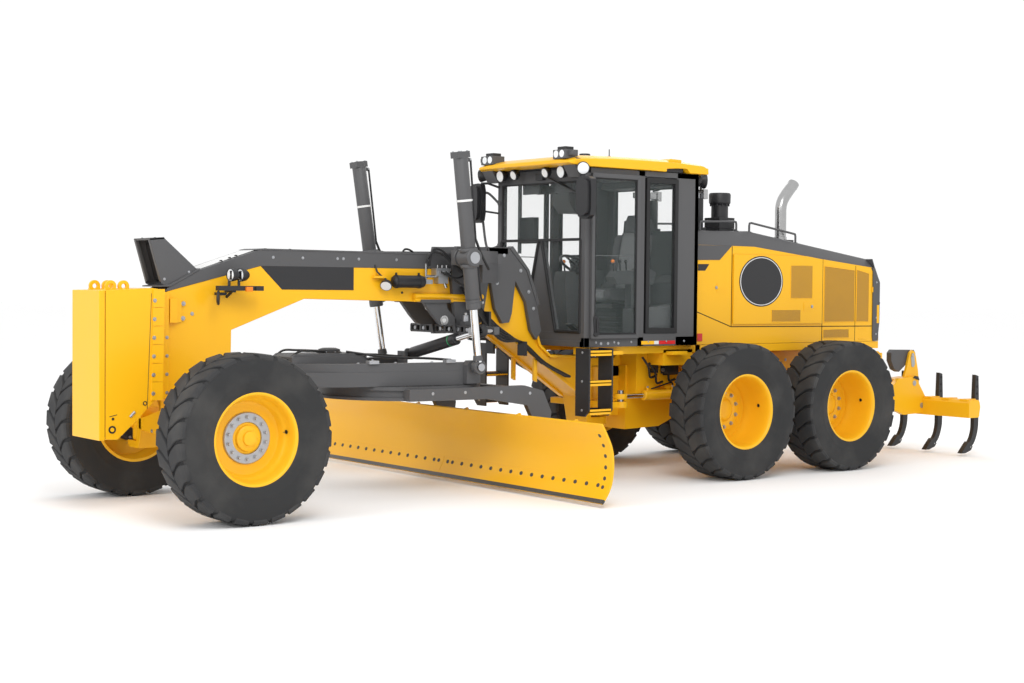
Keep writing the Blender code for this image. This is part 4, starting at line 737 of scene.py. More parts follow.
k = Kit()   # hoses on the frame
for s in (1, -1):
    for shift, r in ((0, 0.012), (0.03, 0.01)):
        k.hose([(-2.31 - shift, s * 0.225, 2.05), (-2.31 - shift, s * 0.235, 2.12),
                (-2.38, s * 0.24, 2.175 + shift), (-2.48, s * 0.25, 2.15 + shift), (-2.58, s * 0.28, 2.06),
                (-2.66, s * 0.3, 1.99)], r, 5)
    k.hose([(-2.44, s * 0.27, 1.995), (-2.56, s * 0.31, 1.94), (-2.66, s * 0.3, 1.96),
            (-2.76, s * 0.24, 2.03)], 0.01, 5)
    k.hose([(-2.49, s * 0.27, 1.995), (-2.62, s * 0.34, 1.88), (-2.78, s * 0.3, 1.9), (-2.9, s * 0.24, 1.98)],
           0.01, 5)
    for i in range(5):
        y = s * (0.225 + 0.018 * i)
        k.hose([(-2.7, y, 1.86 - 0.02 * i), (-2.84, y, 1.74 - 0.03 * i), (-3.00, y * 0.95, 1.6 - 0.035 * i),
                (-3.16, y * 0.9, 1.48 - 0.03 * i), (-3.4, y * 0.85, 1.34), (-3.68, y * 0.85, 1.14),
                (-3.98, y * 0.9, 1.00)], 0.0125, 5)
    for x, z in ((-2.97, 1.6), (-3.4, 1.315)):
        k.box((x - 0.012, x + 0.012), (s * 0.19, s * 0.31), (z - 0.1, z + 0.035), DARK)
k.make("frame_hoses", BODY, 0)

# ---- saddle -------------------------------------------------------------------------------------
k = Kit()
for side in (1, -1):
    a, b = side * 0.1605, side * 0.205
    k.prism([(-2.66, 2.235), (-3.00, 2.235), (-3.04, 1.98), (-2.96, 1.55), (-2.8, 1.42), (-2.66, 1.42),
             (-2.64, 1.62), (-2.6, 1.95)], a, b, "y", GREY)
    k.prism([(-2.285, 1.733), (-2.54, 1.742), (-2.56, 1.66), (-2.66, 1.56), (-2.66, 1.43), (-2.64, 1.51),
             (-2.52, 1.505), (-2.47, 1.525), (-2.395, 1.6)], a, b, "y", GREY)
    k.prism([(-2.26, 1.745), (-2.58, 1.745), (-2.58, 1.715), (-2.26, 1.715)], a, side * 0.225, "y", GREY)
    k.lathe([(0.024, -0.004), (0.044, -0.004), (0.046, 0.0), (0.044, 0.006), (0.024, 0.006)],
            (-2.52, side * 0.206, 1.555), (0, side, 0), STEEL, 28, ring=True)
    k.lathe(disc(0.024, 0.001), (-2.52, side * 0.205, 1.555), (0, side, 0), WHITE, 24)
    k.prism([(-2.34, side * 0.655), (-2.34, side * 0.56), (-2.62, side * 0.19), (-2.97, side * 0.19),
             (-2.97, side * 0.42), (-2.62, side * 0.655)], 2.06, 2.19, "z", GREY)
    k.prism([(-2.62, side * 0.6), (-2.62, side * 0.655), (-2.97, side * 0.43), (-2.97, side * 0.36)], 1.9,
            2.07, "z", GREY)
    k.box((-2.96, -3.03), (side * 0.19, side * 0.4), (2.08, 2.17), GREY)
    tip = 0.71 + (0.06 if side < 0 else 0)
    k.rod((-2.385, side * 0.6, 2.12), (-2.385, side * tip, 2.12), 0.034, STEEL, 20)
    k.lathe([(0, 0), (0.07, 0), (0.078, 0.012), (0.078, 0.03), (0, 0.03)], (-2.385, side * 0.628, 2.12),
            (0, side, 0), GREY, 28)
k.box((-2.98, -2.68), (-0.19, 0.19), (2.172, 2.232), GREY)
k.make("saddle_body", BODY, 0.005, replaces="saddle")

k = Kit()   # lock bar: two perforated plates with a pin gallery
for x0, x1 in ((-2.685, -2.67), (-2.76, -2.745)):
    for z0, z1 in ((1.43, 1.447), (1.493, 1.51)):
        k.box((x0, x1), (-0.55, 0.56), (z0, z1), GREY)
    for i in range(15):
        y = -0.55 + 1.1 * i / 14
        k.box((x0, x1), (y - 0.016, y + 0.016), (1.44, 1.5), GREY)
# a near-black sheet between the two plates: painted shade seen through the perforations
k.box((-2.72, -2.71), (-0.545, 0.555), (1.432, 1.508), SHADE_AND_SEAM)
for y in (-0.56, 0.545):
    k.box((-2.76, -2.67), (y, y + 0.02), (1.43, 1.51), GREY)
for i in range(8):
    y = -0.48 + 0.14 * i
    k.rod((-2.69, y, 1.47), (-2.665, y, 1.47), 0.019, ZINC, 14)
k.box((-2.76, -2.7), (0.5, 0.73), (1.435, 1.505), GREY)
k.rod((-2.7, 0.7, 1.47), (-2.47, 0.7, 1.47), 0.02, STEEL, 20)
k.lathe(disc(0.034, 0.018), (-2.47, 0.7, 1.47), (1, 0, 0), ZINC, 20)
for s in (1, -1):
    k.rod((-2.71, s * 0.28, 1.53), (-2.71, s * 0.28, 1.6), 0.028, ZINC, 16)
    k.box((-2.745, -2.675), (s * 0.235, s * 0.325), (1.512, 1.545), GREY)
    k.rod((-2.71, s * 0.28, 1.6), (-2.71, s * 0.28, 1.625), 0.016, STEEL, 12)
k.make("saddle_lock_bar", BODY, 0.0025)

# ---- front axle ---------------------------------------------------------------------------------
k = Kit()
k.prism([(-0.66, 0.615), (-0.5, 0.6), (-0.2, 0.585), (0.2, 0.585), (0.5, 0.6), (0.66, 0.615), (0.66, 0.7),
         (0.5, 0.735), (0.24, 0.8), (0.24, 0.885), (-0.24, 0.885), (-0.24, 0.8), (-0.5, 0.735), (-0.66, 0.7)],
        -0.085, 0.085, "x", YELLOW)
for side in (1, -1):
    s = side
    k.prism([(s * 0.7, 0.9), (s * 0.84, 0.9), (s * 0.88, 0.88), (s * 0.88, 0.842), (s * 0.712, 0.842),
             (s * 0.712, 0.502), (s * 0.88, 0.502), (s * 0.88, 0.46), (s * 0.84, 0.442), (s * 0.67, 0.442),
             (s * 0.62, 0.6), (s * 0.62, 0.8)], -0.085, 0.085, "x", YELLOW)
    for z0, z1 in ((0.438, 0.446), (0.896, 0.8995)):
        k.lathe([(0, 0), (0.058, 0), (0.058, z1 - z0), (0, z1 - z0)], (0, s * 0.8, z0), (0, 0, 1), ZINC, 28)
    k.prism([(s * 0.14, 0.62), (s * 0.48, 0.635), (s * 0.48, 0.7), (s * 0.14, 0.76)], 0.08, 0.0855, "x",
            YELLOW)
    for i in range(3):
        k.bolt((0.085, s * (0.2 + 0.1 * i), 0.6 + 0.013), (1, 0, 0), 0.011)
k.box((-0.12, 0.12), (-0.12, 0.12), (0.72, 0.895), YELLOW)
k.rod((-0.13, 0, 0.78), (0.13, 0, 0.78), 0.055, STEEL, 28)
k.make("front_axle_beam", BODY, 0.006, replaces="front_axle")

# ---- steering knuckles --------------------------------------------------------------------------
for side, word in SIDES:
    BODY = f"knuckle_{word}"
    s = side
    k = Kit()
    k.lathe([(0, 0), (0.055, 0), (0.069, 0.012), (0.069, 0.324), (0.055, 0.336), (0, 0.336)],
            (0, s * 0.8, 0.504), (0, 0, 1), YELLOW, 32)
    k.lathe([(0, 0), (0.095, 0), (0.095, 0.012), (0.078, 0.03), (0.075, 0.115), (0, 0.115)],
            (0, s * 0.81, HUB), (0, s, 0), YELLOW, 32)
    k.lathe([(0, 0), (0.14, 0), (0.178, 0.014), (0.189, 0.03), (0.189, 0.086), (0.165, 0.099), (0, 0.099)],
            (0, s * 0.948, HUB), (0, s, 0), DARK, 48)
    for i in range(8):
        t = math.pi * i / 4 + 0.2
        k.bolt((0.155 * math.cos(t), s * 0.956, HUB + 0.155 * math.sin(t)), (0, -s, 0), 0.01)
    k.make(f"knuckle_look_{word}", BODY, 0.003, replaces=f"steering_knuckle_{word}")

# ---- lift cylinders -----------------------------------------------------------------------------
for side, word in SIDES:
    s = side
    pivot = Vector((-2.385, s * (0.77 if s > 0 else 0.83), 2.12))
    eye = Vector((-2.5, s * 0.77, 1.15))
    way = (eye - pivot).normalized()
    front = Vector((1, 0, 0))
    front = (front - way * front.dot(way)).normalized()
    out = way.cross(front)
    out = out if out.y * s > 0 else -out
    top = pivot - way * 0.935
    low = pivot + way * 0.46
    k = Kit()
    k.lathe([(0, 0.04), (0.06, 0.04), (0.0655, 0.05), (0.0655, 1.31), (0.06, 1.318), (0.0, 1.318)], top, way,
            GREY, 36)
    k.lathe([(0.037, 1.3), (0.066, 1.3), (0.066, 1.33), (0.0625, 1.334), (0.066, 1.338), (0.066, 1.385),
             (0.058, 1.395), (0.037, 1.395)], top, way, GREY, 36, ring=True)
    for at in (1.296, 0.052):
        k.lathe([(0.0655, at), (0.066, at), (0.066, at + 0.012), (0.0655, at + 0.012)], top, way, GREY, 36,
                ring=True)
    # square cap at the head
    corners = ((1, 1), (-1, 1), (-1, -1), (1, -1))
    verts = [top + way * h + front * (u * 0.062) + out * (v * 0.062) for h in (0.0, 0.055) for u,
             v in corners]
    k.faces(verts, [(0, 3, 2, 1), (4, 5, 6, 7), (0, 1, 5, 4), (1, 2, 6, 5), (2, 3, 7, 6), (3, 0, 4, 7)], GREY)
    for u, v in corners:
        k.bolt(top + front * (u * 0.045) + out * (v * 0.045), -way, 0.009)
    # trunnion block and its side bosses
    for at in (-0.085, 0.055):
        k.lathe([(0.064, at), (0.08, at), (0.083, at + 0.004), (0.083, at + 0.026), (0.08, at + 0.03),
                 (0.064, at + 0.03)], pivot, way, GREY, 36, ring=True)
    k.lathe(eye_ring(0.0, 0.074, 0.082, 0.088, 0.08), pivot, (0, 1, 0), GREY, 36)
    k.lathe([(0, 0.088), (0.05, 0.088), (0.052, 0.091), (0.0, 0.092)], pivot, (0, s, 0), ZINC, 28)
    k.make(f"lift_barrel_look_{word}", f"lift_barrel_{word}", 0.0035,
           replaces=f"lift_cylinder_{word}")
    k = Kit()
    # clamp rings, hard lines and ports
    for at in (0.42, 1.00):
        k.lathe([(0.0655, at), (0.0705, at + 0.001), (0.0705, at + 0.019), (0.0655, at + 0.02)], top, way,
                WHITE, 36, ring=True)
        a = top + way * (at + 0.01) - front * 0.074
        k.rod(a - out * 0.02, a + out * 0.02, 0.008, ZINC, 10)
    for port in (0.075, 1.345):
        a = top + way * port - front * 0.045
        k.rod(a, a - front * 0.045, 0.018, GREY, 16)
        k.rod(a - front * 0.04, a - front * 0.065, 0.014, ZINC, 6)
    tube_top = top + way * 0.085 - front * 0.105
    tube_low = top + way * 0.8 - front * 0.088
    k.tube(spline([top + way * 0.078 - front * 0.085, tube_top + way * 0.012, tube_top + way * 0.06,
                   tube_low], 5), 0.0095, DARK, 8)
    tube2 = top + way * 1.33 - front * 0.102
    k.tube(spline([top + way * 1.345 - front * 0.085, tube2, tube2 - way * 0.06 + front * 0.01,
                   top + way * 0.98 - front * 0.088], 5), 0.0095, DARK, 8)
    hose = [top + way * 0.78 - front * 0.088, top + way * 0.9 - front * 0.13,
            top + way * 1.02 - front * 0.2 - out * 0.02, top + way * 1.06 - front * 0.24 - out * 0.05]
    k.hose(hose, 0.012, 6)
    k.make(f"lift_fittings_{word}", f"lift_barrel_{word}", 0)
    k = Kit()
    k.lathe([(0, 0.45), (0.03, 0.45), (0.0355, 0.455), (0.0355, (eye - top).length - 0.045),
             (0.0, (eye - top).length - 0.045)], top, way, CHROME, 36)
    k.lathe(eye_ring(0.037, 0.06, 0.065, 0.033, 0.026), eye, (0, 1, 0), GREY, 36, ring=True)
    k.lathe([(0.03, -0.11), (0.04, -0.105), (0.046, -0.06), (0.03, -0.06)], eye, way, GREY, 32, ring=True)
    k.bolt(eye - way * 0.062 - front * 0.02, -front, 0.007)
    k.make(f"lift_rod_look_{word}", f"lift_rod_{word}", 0.002, replaces=f"lift_rod_{word}")

# ---- drawbar ------------------------------------------------------------------------------------
BODY = "drawbar"
k = Kit()
for s in (1, -1):
    k.prism([(-0.62, s * 0.018), (-0.62, s * 0.07), (-1.3, s * 0.46), (-2.56, s * 0.66), (-2.62, s * 0.6),
             (-2.62, s * 0.44), (-1.36, s * 0.26), (-0.92, s * 0.018)], 0.9885, 1.114, "z", GREY)
    k.prism([(-0.95, s * 0.2), (-1.3, s * 0.455), (-2.56, s * 0.655), (-2.56, s * 0.56), (-1.34, s * 0.37),
             (-1.05, s * 0.16)], 1.105, 1.188, "z", GREY)
    k.prism([(-0.64, 1.00), (-0.47, 1.00), (-0.432, 1.04), (-0.47, 1.08), (-0.64, 1.08)], s * 0.0552,
            s * 0.1045, "y", GREY)
    k.box((-0.8, -0.61), (s * 0.02, s * 0.1045), (1.0, 1.08), GREY)
    k.prism([(-2.575, 1.00), (-2.425, 1.00), (-2.425, 1.17), (-2.46, 1.205), (-2.54, 1.205), (-2.575, 1.17)],
            s * 0.622, s * 0.698, "y", GREY)
    k.rod((-2.5, s * 0.66, 1.15), (-2.5, s * 0.812, 1.15), 0.021, STEEL, 24)
    k.lathe([(0, 0), (0.034, 0), (0.036, 0.004), (0.034, 0.008), (0, 0.008)], (-2.5, s * 0.81, 1.15),
            (0, s, 0), ZINC, 24)
    for x in (-1.45, -1.8, -2.15):
        at = 0.46 + (x + 1.3) / (-1.26) * 0.2
        k.bolt((x, s * (at - 0.05), 1.188), (0, 0, 1), 0.012)
k.box((-2.62, -2.5), (-0.6, 0.6), (0.989, 1.113), GREY)
k.box((-1.5, -1.28), (-0.44, 0.44), (0.99, 1.112), GREY)
k.rod((-0.47, -0.088, 1.04), (-0.47, 0.088, 1.04), 0.0297, STEEL, 28)
k.box((-1.69, -0.93), (-0.195, 0.195), (1.1, 1.245), GREY)
k.prism([(-1.68, 1.24), (-0.94, 1.24), (-0.98, 1.268), (-1.64, 1.268)], -0.17, 0.17, "y", GREY)
k.lathe([(0, 0.04), (0.112, 0.04), (0.112, 0.075), (0.098, 0.085), (0.096, 0.1), (0.06, 0.112), (0, 0.112)],
        (-1.42, 0, 1.2), (0, 0, 1), DARK, 36)
for i in range(8):
    t = math.pi * i / 4
    k.bolt((-1.42 + 0.099 * math.cos(t), 0.099 * math.sin(t), 1.274), (0, 0, 1), 0.009)
k.box((-2.519, -2.481), (-0.499, -0.381), (1.1, 1.249), GREY)
k.rod((-2.5, -0.44, 1.22), (-2.648, -0.44, 1.22), 0.0193, STEEL, 24)
k.make("drawbar_look", BODY, 0.005, replaces="drawbar")
k = Kit()   # hoses and lines on the drawbar, wear shoes above the circle
for s in (1, -1):
    k.hose([(-1.34, s * 0.06, 1.285), (-1.15, s * 0.1, 1.292), (-1.02, s * 0.14, 1.285),
            (-0.88, s * 0.11, 1.18), (-0.72, s * 0.07, 1.115)], 0.01, 6)
    k.hose([(-1.52, s * 0.12, 1.28), (-1.8, s * 0.3, 1.24), (-2.2, s * 0.44, 1.22), (-2.46, s * 0.4, 1.2)],
           0.011, 6)
    for x, y in ((-1.56, 0.5), (-2.3, 0.61)):
        k.box((x - 0.05, x + 0.05), (s * (y - 0.04), s * (y + 0.02)), (1.186, 1.215), ZINC)
        k.bolt((x, s * (y - 0.01), 1.215), (0, 0, 1), 0.011)
k.make("drawbar_fittings", BODY, 0.002)

# ---- centre-shift cylinder ----------------------------------------------------------------------
base = Vector((-2.58, -0.44, 1.22))
eye = Vector((-2.58, 0.7, 1.47))
way = (eye - base).normalized()
k = Kit()
k.lathe([(0.0296, 0.045), (0.0296, 0.045), (0.046, 0.05), (0.0545, 0.065), (0.0545, 0.7), (0.05, 0.706),
         (0.0545, 0.712), (0.0545, 0.772), (0.048, 0.78), (0.029, 0.78)], base, way, DARK, 36, ring=True)
k.lathe(eye_ring(0.02, 0.05, 0.054, 0.034, 0.028), base, (1, 0, 0), DARK, 36, ring=True)
k.lathe([(0.0546, 0.69), (0.055, 0.69), (0.055, 0.704), (0.0546, 0.704)], base, way, GREEN, 36, ring=True)
k.make("centre_shift_barrel_look", "centre_shift_barrel", 0.0015,
       replaces="centre_shift_cylinder")
k = Kit()
length = (eye - base).length
k.lathe([(0, 0.4), (0.0225, 0.4), (0.0275, 0.405), (0.0275, length - 0.055), (0, length - 0.055)], base, way,
        CHROME, 32)
k.lathe(eye_ring(0.0425, 0.057, 0.0612, 0.029, 0.022), eye, (1, 0, 0), DARK, 36, ring=True)
k.make("centre_shift_rod_look", "centre_shift_rod", 0.0015, replaces="centre_shift_rod")

# ---- circle and its blade arms ------------------------------------------------------------------
BODY = "circle"
k = Kit()
for lo, hi, r_out, r_in in ((0.8655, 0.892, 0.757, 0.625), (0.955, 0.986, 0.757, 0.635)):
    k.lathe([(r_in, lo), (r_out, lo), (r_out, hi), (r_in, hi)], (CIRCLE_X, 0, 0), (0, 0, 1), GREY, 96,
            ring=True)
k.lathe([(0.68, 0.885), (0.735, 0.885), (0.735, 0.96), (0.68, 0.96)], (CIRCLE_X, 0, 0), (0, 0, 1), GREY, 96,
        ring=True)
for i in range(TEETH):
    t = 2 * math.pi * i / TEETH
    verts = []
    for z in (0.892, 0.952):
        for r, d in ((0.69, -0.024), (0.638, -0.012), (0.638, 0.012), (0.69, 0.024)):
            verts.append((CIRCLE_X + r * math.cos(t + d / 0.68), r * math.sin(t + d / 0.68), z))
    k.faces(verts, [(0, 1, 2, 3), (4, 7, 6, 5), (0, 4, 5, 1), (1, 5, 6, 2), (2, 6, 7, 3), (3, 7, 4, 0)], IRON)
for s in (1, -1):
    k.prism([(-1.755, 0.868), (-1.755, 0.972), (-3.02, 0.972), (-3.235, 0.918), (-3.335, 0.72),
             (-3.268, 0.252), (-3.235, 0.218), (-3.2, 0.212), (-3.165, 0.218), (-3.142, 0.252),
             (-3.142, 0.62), (-3.05, 0.79), (-2.6, 0.862)], s * 0.722, s * 0.779, "y", GREY)
    k.box((-2.61, -1.78), (s * 0.56, s * 0.77), (0.872, 0.968), GREY)
    k.prism([(-2.62, 0.885), (-2.62, 0.955), (-2.95, 0.955), (-3.14, 0.9), (-3.1, 0.84), (-2.98, 0.88)],
            s * 0.6, s * 0.725, "y", GREY)
    k.rod((BLADE_PIN_X, s * 0.76, BLADE_PIN_Z), (BLADE_PIN_X, s * 0.829, BLADE_PIN_Z), 0.0297, STEEL, 28)
    k.lathe([(0.034, 0.0), (0.058, 0.0), (0.06, 0.0015), (0.034, 0.002)],
            (BLADE_PIN_X, s * 0.7785, BLADE_PIN_Z), (0, s, 0), ZINC, 28, ring=True)
    for x, z in ((-2.00, 0.93), (-2.35, 0.93), (-2.75, 0.92), (-3.08, 0.9)):
        k.lathe([(0, 0), (0.016, 0), (0.015, 0.0016), (0, 0.0016)], (x, s * 0.779, z), (0, s, 0), ZINC, 6)
k.box((-2.955, -2.845), (-0.765, 0.765), (0.884, 0.962), GREY)
k.make("circle_look", BODY, 0.0035, replaces="circle")

# ---- blade carrier ------------------------------------------------------------------------------
BODY = "blade_carrier"
k = Kit()
k.box((-3.118, -3.0605), (-0.965, 0.965), (0.332, 0.388), GREY)
k.box((-3.098, -3.0655), (-0.965, 0.965), (0.502, 0.543), GREY)
for s in (1, -1):
    ring = [(-3.238, 0.272), (-3.2, 0.252), (-3.12, 0.242), (-3.067, 0.3), (-3.067, 0.558), (-3.12, 0.558),
            (-3.238, 0.345)]
    k.prism(ring, s * 0.836, s * 0.966, "y", GREY)
    k.lathe([(0.0305, 0.0), (0.046, 0.0), (0.046, 0.048), (0.0305, 0.048)],
            (BLADE_PIN_X, s * 0.7875, BLADE_PIN_Z), (0, s, 0), GREY, 28, ring=True)
    k.box((-3.165, -3.07), (s * 0.788, s * 0.84), (0.29, 0.555), GREY)
    for z in (0.3, 0.42):
        k.lathe([(0, 0), (0.014, 0), (0.013, 0.003), (0, 0.003)], (-3.1, s * 0.966, z), (0, s, 0), ZINC, 6)
for y in (-0.55, 0.55):
    k.box((-3.11, -3.07), (y - 0.03, y + 0.03), (0.38, 0.4068), GREY)
carrier_look = k.make("carrier_look", BODY, 0.003, replaces="blade_carrier")
cut(carrier_look, [((-3.125, -3.055), (0.72, 1.02), (0.417, 0.477))])
k = Kit()
k.lathe([(0.019, 0.0), (0.034, 0.0), (0.0393, 0.006), (0.0393, 1.394), (0.034, 1.4), (0.019, 1.4)],
        (-3.09, -0.7, 0.447), (0, 1, 0), DARK, 32, ring=True)
k.lathe(disc(0.019, 0.02), (-3.09, -0.7, 0.447), (0, 1, 0), DARK, 24)
k.make("side_shift_look", BODY, 0.0015, replaces="side_shift_cylinder")

# ---- moldboard ----------------------------------------------------------------------------------
BODY = "moldboard"
curve = [(-2.87, 0.045), (-2.918, 0.105), (-2.955, 0.17), (-2.976, 0.245), (-2.987, 0.337), (-2.983, 0.433),
         (-2.959, 0.526), (-2.912, 0.616), (-2.857, 0.71)]
fine = [(p.x, p.z) for p in spline([(x, 0, z) for x, z in curve], 4)]


def offset(line, by):
    """A line moved square to itself."""
    out = []
    for i, (x, z) in enumerate(line):
        a, b = line[max(i - 1, 0)], line[min(i + 1, len(line) - 1)]
        run = Vector((b[0] - a[0], b[1] - a[1])).normalized()
        out.append((x - run.y * by, z + run.x * by))
    return out


y0, y1 = -2.8445, 2.0325
k = Kit()
part = [p for p in fine if p[1] > 0.17]
sheet = offset(part, 0.003)
k.prism(sheet + list(reversed(offset(part, 0.0215))), y0, y1, "y", YELLOW)
k.box((-3.0597, -2.995), (-1.954, 1.142), (0.331, 0.389), YELLOW)
k.box((-3.0645, -2.972), (-1.954, 1.142), (0.501, 0.544), YELLOW)
k.box((-3.114, -2.993), (1.151, 1.209), (0.401, 0.499), YELLOW)
for y in (-2.35, -1.55, -0.75, 0.05, 0.85, 1.65):
    top_line = offset([p for p in part if p[1] > 0.56], 0.02)
    k.prism(top_line + [(p[0] - 0.035, p[1] + 0.012) for p in reversed(top_line)], y - 0.012, y + 0.012, "y",
            YELLOW)
k.rod((-3.09, -0.2, 0.447), (-3.09, 1.18, 0.447), 0.0178, CHROME, 24)
k.make("moldboard_look", BODY, 0.003, replaces="moldboard")
k = Kit()   # cutting edges in two lengths, end bits with their rows of bolts
edge = [p for p in fine if p[1] < 0.226]
for a, b in ((y0 + 0.001, -0.4075), (-0.4045, y1 - 0.001)):
    k.prism(offset(edge, 0.0) + list(reversed(offset(edge, 0.0195))), a, b, "y", YELLOW)
for a, b in ((y1 - 0.155, y1 - 0.0005), (y0 + 0.155, y0 + 0.0005)):
    side_line = [p for p in fine if p[1] < 0.66]
    face = offset(side_line, -0.0005)
    k.prism(face + list(reversed(offset(side_line, 0.01))), min(a, b), max(a, b), "y", YELLOW)
k.make("cutting_edge", BODY, 0.002)
k = Kit()


def face_at(z):
    """The point on the blade's front at a height, and the way out of it."""
    for i in range(len(fine) - 1):
        (xa, za), (xb, zb) = fine[i], fine[i + 1]
        if za <= z <= zb:
            t = (z - za) / (zb - za)
            run = Vector((xb - xa, zb - za)).normalized()
            return Vector((xa + (xb - xa) * t, 0, z)), Vector((run.y, 0, -run.x))
    return Vector((fine[-1][0], 0, fine[-1][1])), Vector((1, 0, 0))


spots = []
for n in range(1, 16):
    for s in (1, -1):
        spots.append((-0.406 + s * BOLT_PITCH * n, 0.18))
spots += [(-0.331, 0.18), (-0.481, 0.18)]
for z in (0.611, 0.526, 0.433, 0.337, 0.243, 0.17):
    spots += [(1.944, z), (-2.756, z)]
for y, z in spots:
    at, way = face_at(z)
    at.y = y
    k.lathe([(0, -0.004), (0.019, -0.004), (0.019, 0.0006), (0.0165, 0.0022), (0.009, 0.0012), (0, 0.001)],
            at, way, IRON, 18)
    # a near-black ring round each head: painted shade in the gap round the bolt
    k.lathe([(0.02, -0.003), (0.0222, -0.003), (0.0222, 0.0004), (0.02, 0.0004)], at, way, SHADE_AND_SEAM, 18,
            ring=True)
k.make("edge_bolts", BODY, 0)
k = Kit()   # the worn strip along the very bottom
low = [p for p in fine if p[1] < 0.075]
k.prism(offset(low, -0.0008) + list(reversed(offset(low, 0.02))), y0 + 0.0005, y1 - 0.0005, "y", WORN)
k.make("worn_strip", BODY, 0)

# ---- rear frame ---------------------------------------------------------------------------------
BODY = "rear_frame"
k = Kit()
for s in (1, -1):
    k.prism([(-4.76, 0.8), (-4.76, 1.238), (-8.098, 1.238), (-8.098, 0.8), (-7.6, 0.8), (-5.6, 0.8)],
            s * 0.27, s * 0.359, "y", YELLOW)
    k.box((-8.148, -5.335), (s * 0.3, s * 0.598), (1.222, 1.299), YELLOW)
    k.prism([(-5.36, 1.222), (-5.36, 1.18), (-5.48, 1.1), (-5.74, 1.085), (-5.74, 1.222)], s * 0.45,
            s * 0.596, "y", YELLOW)
    k.box((-5.4, -3.862), (s * 0.452, s * 0.598), (1.226, 1.299), YELLOW)
    k.box((-5.298, -4.902), (s * 0.3, s * 0.598), (1.102, 1.259), YELLOW)
    k.prism([(-5.3, 1.12), (-5.06, 1.12), (-5.02, 1.04), (-5.06, 0.9), (-5.16, 0.84), (-5.24, 0.9),
             (-5.28, 1.0)], s * 0.36, s * 0.4, "y", YELLOW)
    k.prism([(-5.34, 0.74), (-5.34, 0.94), (-5.3, 0.95), (-5.24, 0.95), (-5.24, 0.74)], s * 0.302, s * 0.498,
            "y", YELLOW)
    k.box((-7.95, -5.4), (s * 0.36, s * 0.372), (1.02, 1.2), YELLOW)
    for x in (-5.5, -5.9, -6.4, -6.9, -7.4, -7.8):
        k.bolt((x, s * 0.372, 1.11), (0, s, 0), 0.012)
    k.prism([(-4.78, 0.98), (-4.78, 1.24), (-4.62, 1.12), (-4.6, 0.99), (-4.64, 0.98)], s * 0.1, s * 0.114,
            "y", YELLOW)
k.box((-8.09, -4.77), (-0.28, 0.28), (1.1, 1.236), YELLOW)
k.box((-8.09, -4.77), (-0.28, 0.28), (0.802, 0.86), YELLOW)
k.box((-4.8, -4.762), (-0.358, 0.358), (0.802, 1.236), YELLOW)
k.box((-8.146, -5.34), (-0.32, 0.32), (1.225, 1.297), DARK)
k.box((-4.79, -4.5), (-0.114, 0.114), (0.586, 1.084), YELLOW)
k.lathe([(0.0502, 0), (0.11, 0), (0.115, 0.006), (0.115, 0.492), (0.11, 0.498), (0.0502, 0.498)],
        (HITCH_X, 0, 0.586), (0, 0, 1), YELLOW, 40, ring=True)
k.rod((HITCH_X, 0, 0.586), (HITCH_X, 0, 1.084), 0.0497, STEEL, 28)
k.prism([(-4.742, 0.45), (-4.742, 1.09), (-5.598, 1.09), (-5.598, 0.62), (-5.2, 0.462)], -0.219, 0.219, "y",
        YELLOW)
k.prism([(-8.398, 0.66), (-8.398, 1.16), (-8.37, 1.178), (-8.09, 1.178), (-8.09, 0.63), (-8.36, 0.622)],
        -0.418, 0.418, "y", YELLOW)
k.make("rear_frame_look", BODY, 0.006, replaces="rear_frame")

for side, word in SIDES:
    s, y = side, side * RAM_Y
    k = Kit()
    k.lathe([(0.0265, 0.0), (0.038, 0.0), (0.0495, 0.012), (0.0495, 0.385), (0.046, 0.389), (0.0495, 0.393),
             (0.0495, 0.432), (0.044, 0.4385), (0.0265, 0.4385)], (-5.239, y, RAM_Z), (1, 0, 0), YELLOW, 36,
            ring=True)
    k.lathe(disc(0.027, 0.03), (-5.239, y, RAM_Z), (1, 0, 0), YELLOW, 24)
    for x in (-5.2, -4.86):
        k.rod((x, y, 0.845), (x, y, 0.872), 0.014, YELLOW, 16)
        k.rod((x, y, 0.868), (x, y, 0.89), 0.012, ZINC, 6)
    k.hose([(-5.2, y, 0.885), (-5.195, y, 0.91), (-5.16, y, 0.915), (-4.98, y - s * 0.02, 0.87),
            (-4.93, y - s * 0.02, 0.86)], 0.008, 5)
    k.make(f"articulation_barrel_{word}", BODY, 0.0015,
           replaces=f"articulation_cylinder_{word}")
    k = Kit()
    k.rod((-5.00, y, RAM_Z), (HITCH_X - 0.052, y, RAM_Z), 0.0248, CHROME, 32)
    k.lathe(eye_ring(0.0475, 0.063, 0.0675, 0.0275, 0.02), (HITCH_X, y, RAM_Z), (0, 0, 1), YELLOW, 36,
            ring=True)
    k.make(f"articulation_rod_look_{word}", f"articulation_rod_{word}", 0.0015,
           replaces=f"articulation_rod_{word}")

k = Kit()   # hoses under the cab that run from the rear frame, with clamps
for s in (1, -1):
    for i in range(4):
        y = s * (0.16 + 0.03 * i)
        k.hose([(-4.78, y, 1.15 - 0.03 * i), (-4.92, y + s * 0.05, 1.1 - 0.03 * i),
                (-5.08, y + s * 0.14, 1.06 - 0.02 * i), (-5.24, y + s * 0.22, 1.1 - 0.03 * i)], 0.011, 5)
    for x, z in ((-4.86, 1.02), (-4.95, 0.96), (-5.12, 0.98)):
        k.hose([(x + 0.06, s * 0.4, z + 0.16), (x, s * 0.43, z + 0.06), (x - 0.03, s * 0.42, z - 0.04),
                (x - 0.12, s * 0.41, z - 0.03)], 0.012, 5)
    k.box((-4.98, -4.95), (s * 0.36, s * 0.44), (1.02, 1.12), DARK)
    k.box((-5.2, -5.04), (s * 0.41, s * 0.5), (1.01, 1.095), DARK)
    k.rod((-5.05, s * 0.455, 1.05), (-5.02, s * 0.455, 1.05), 0.018, ZINC, 12)
k.make("rear_frame_hoses", BODY, 0)

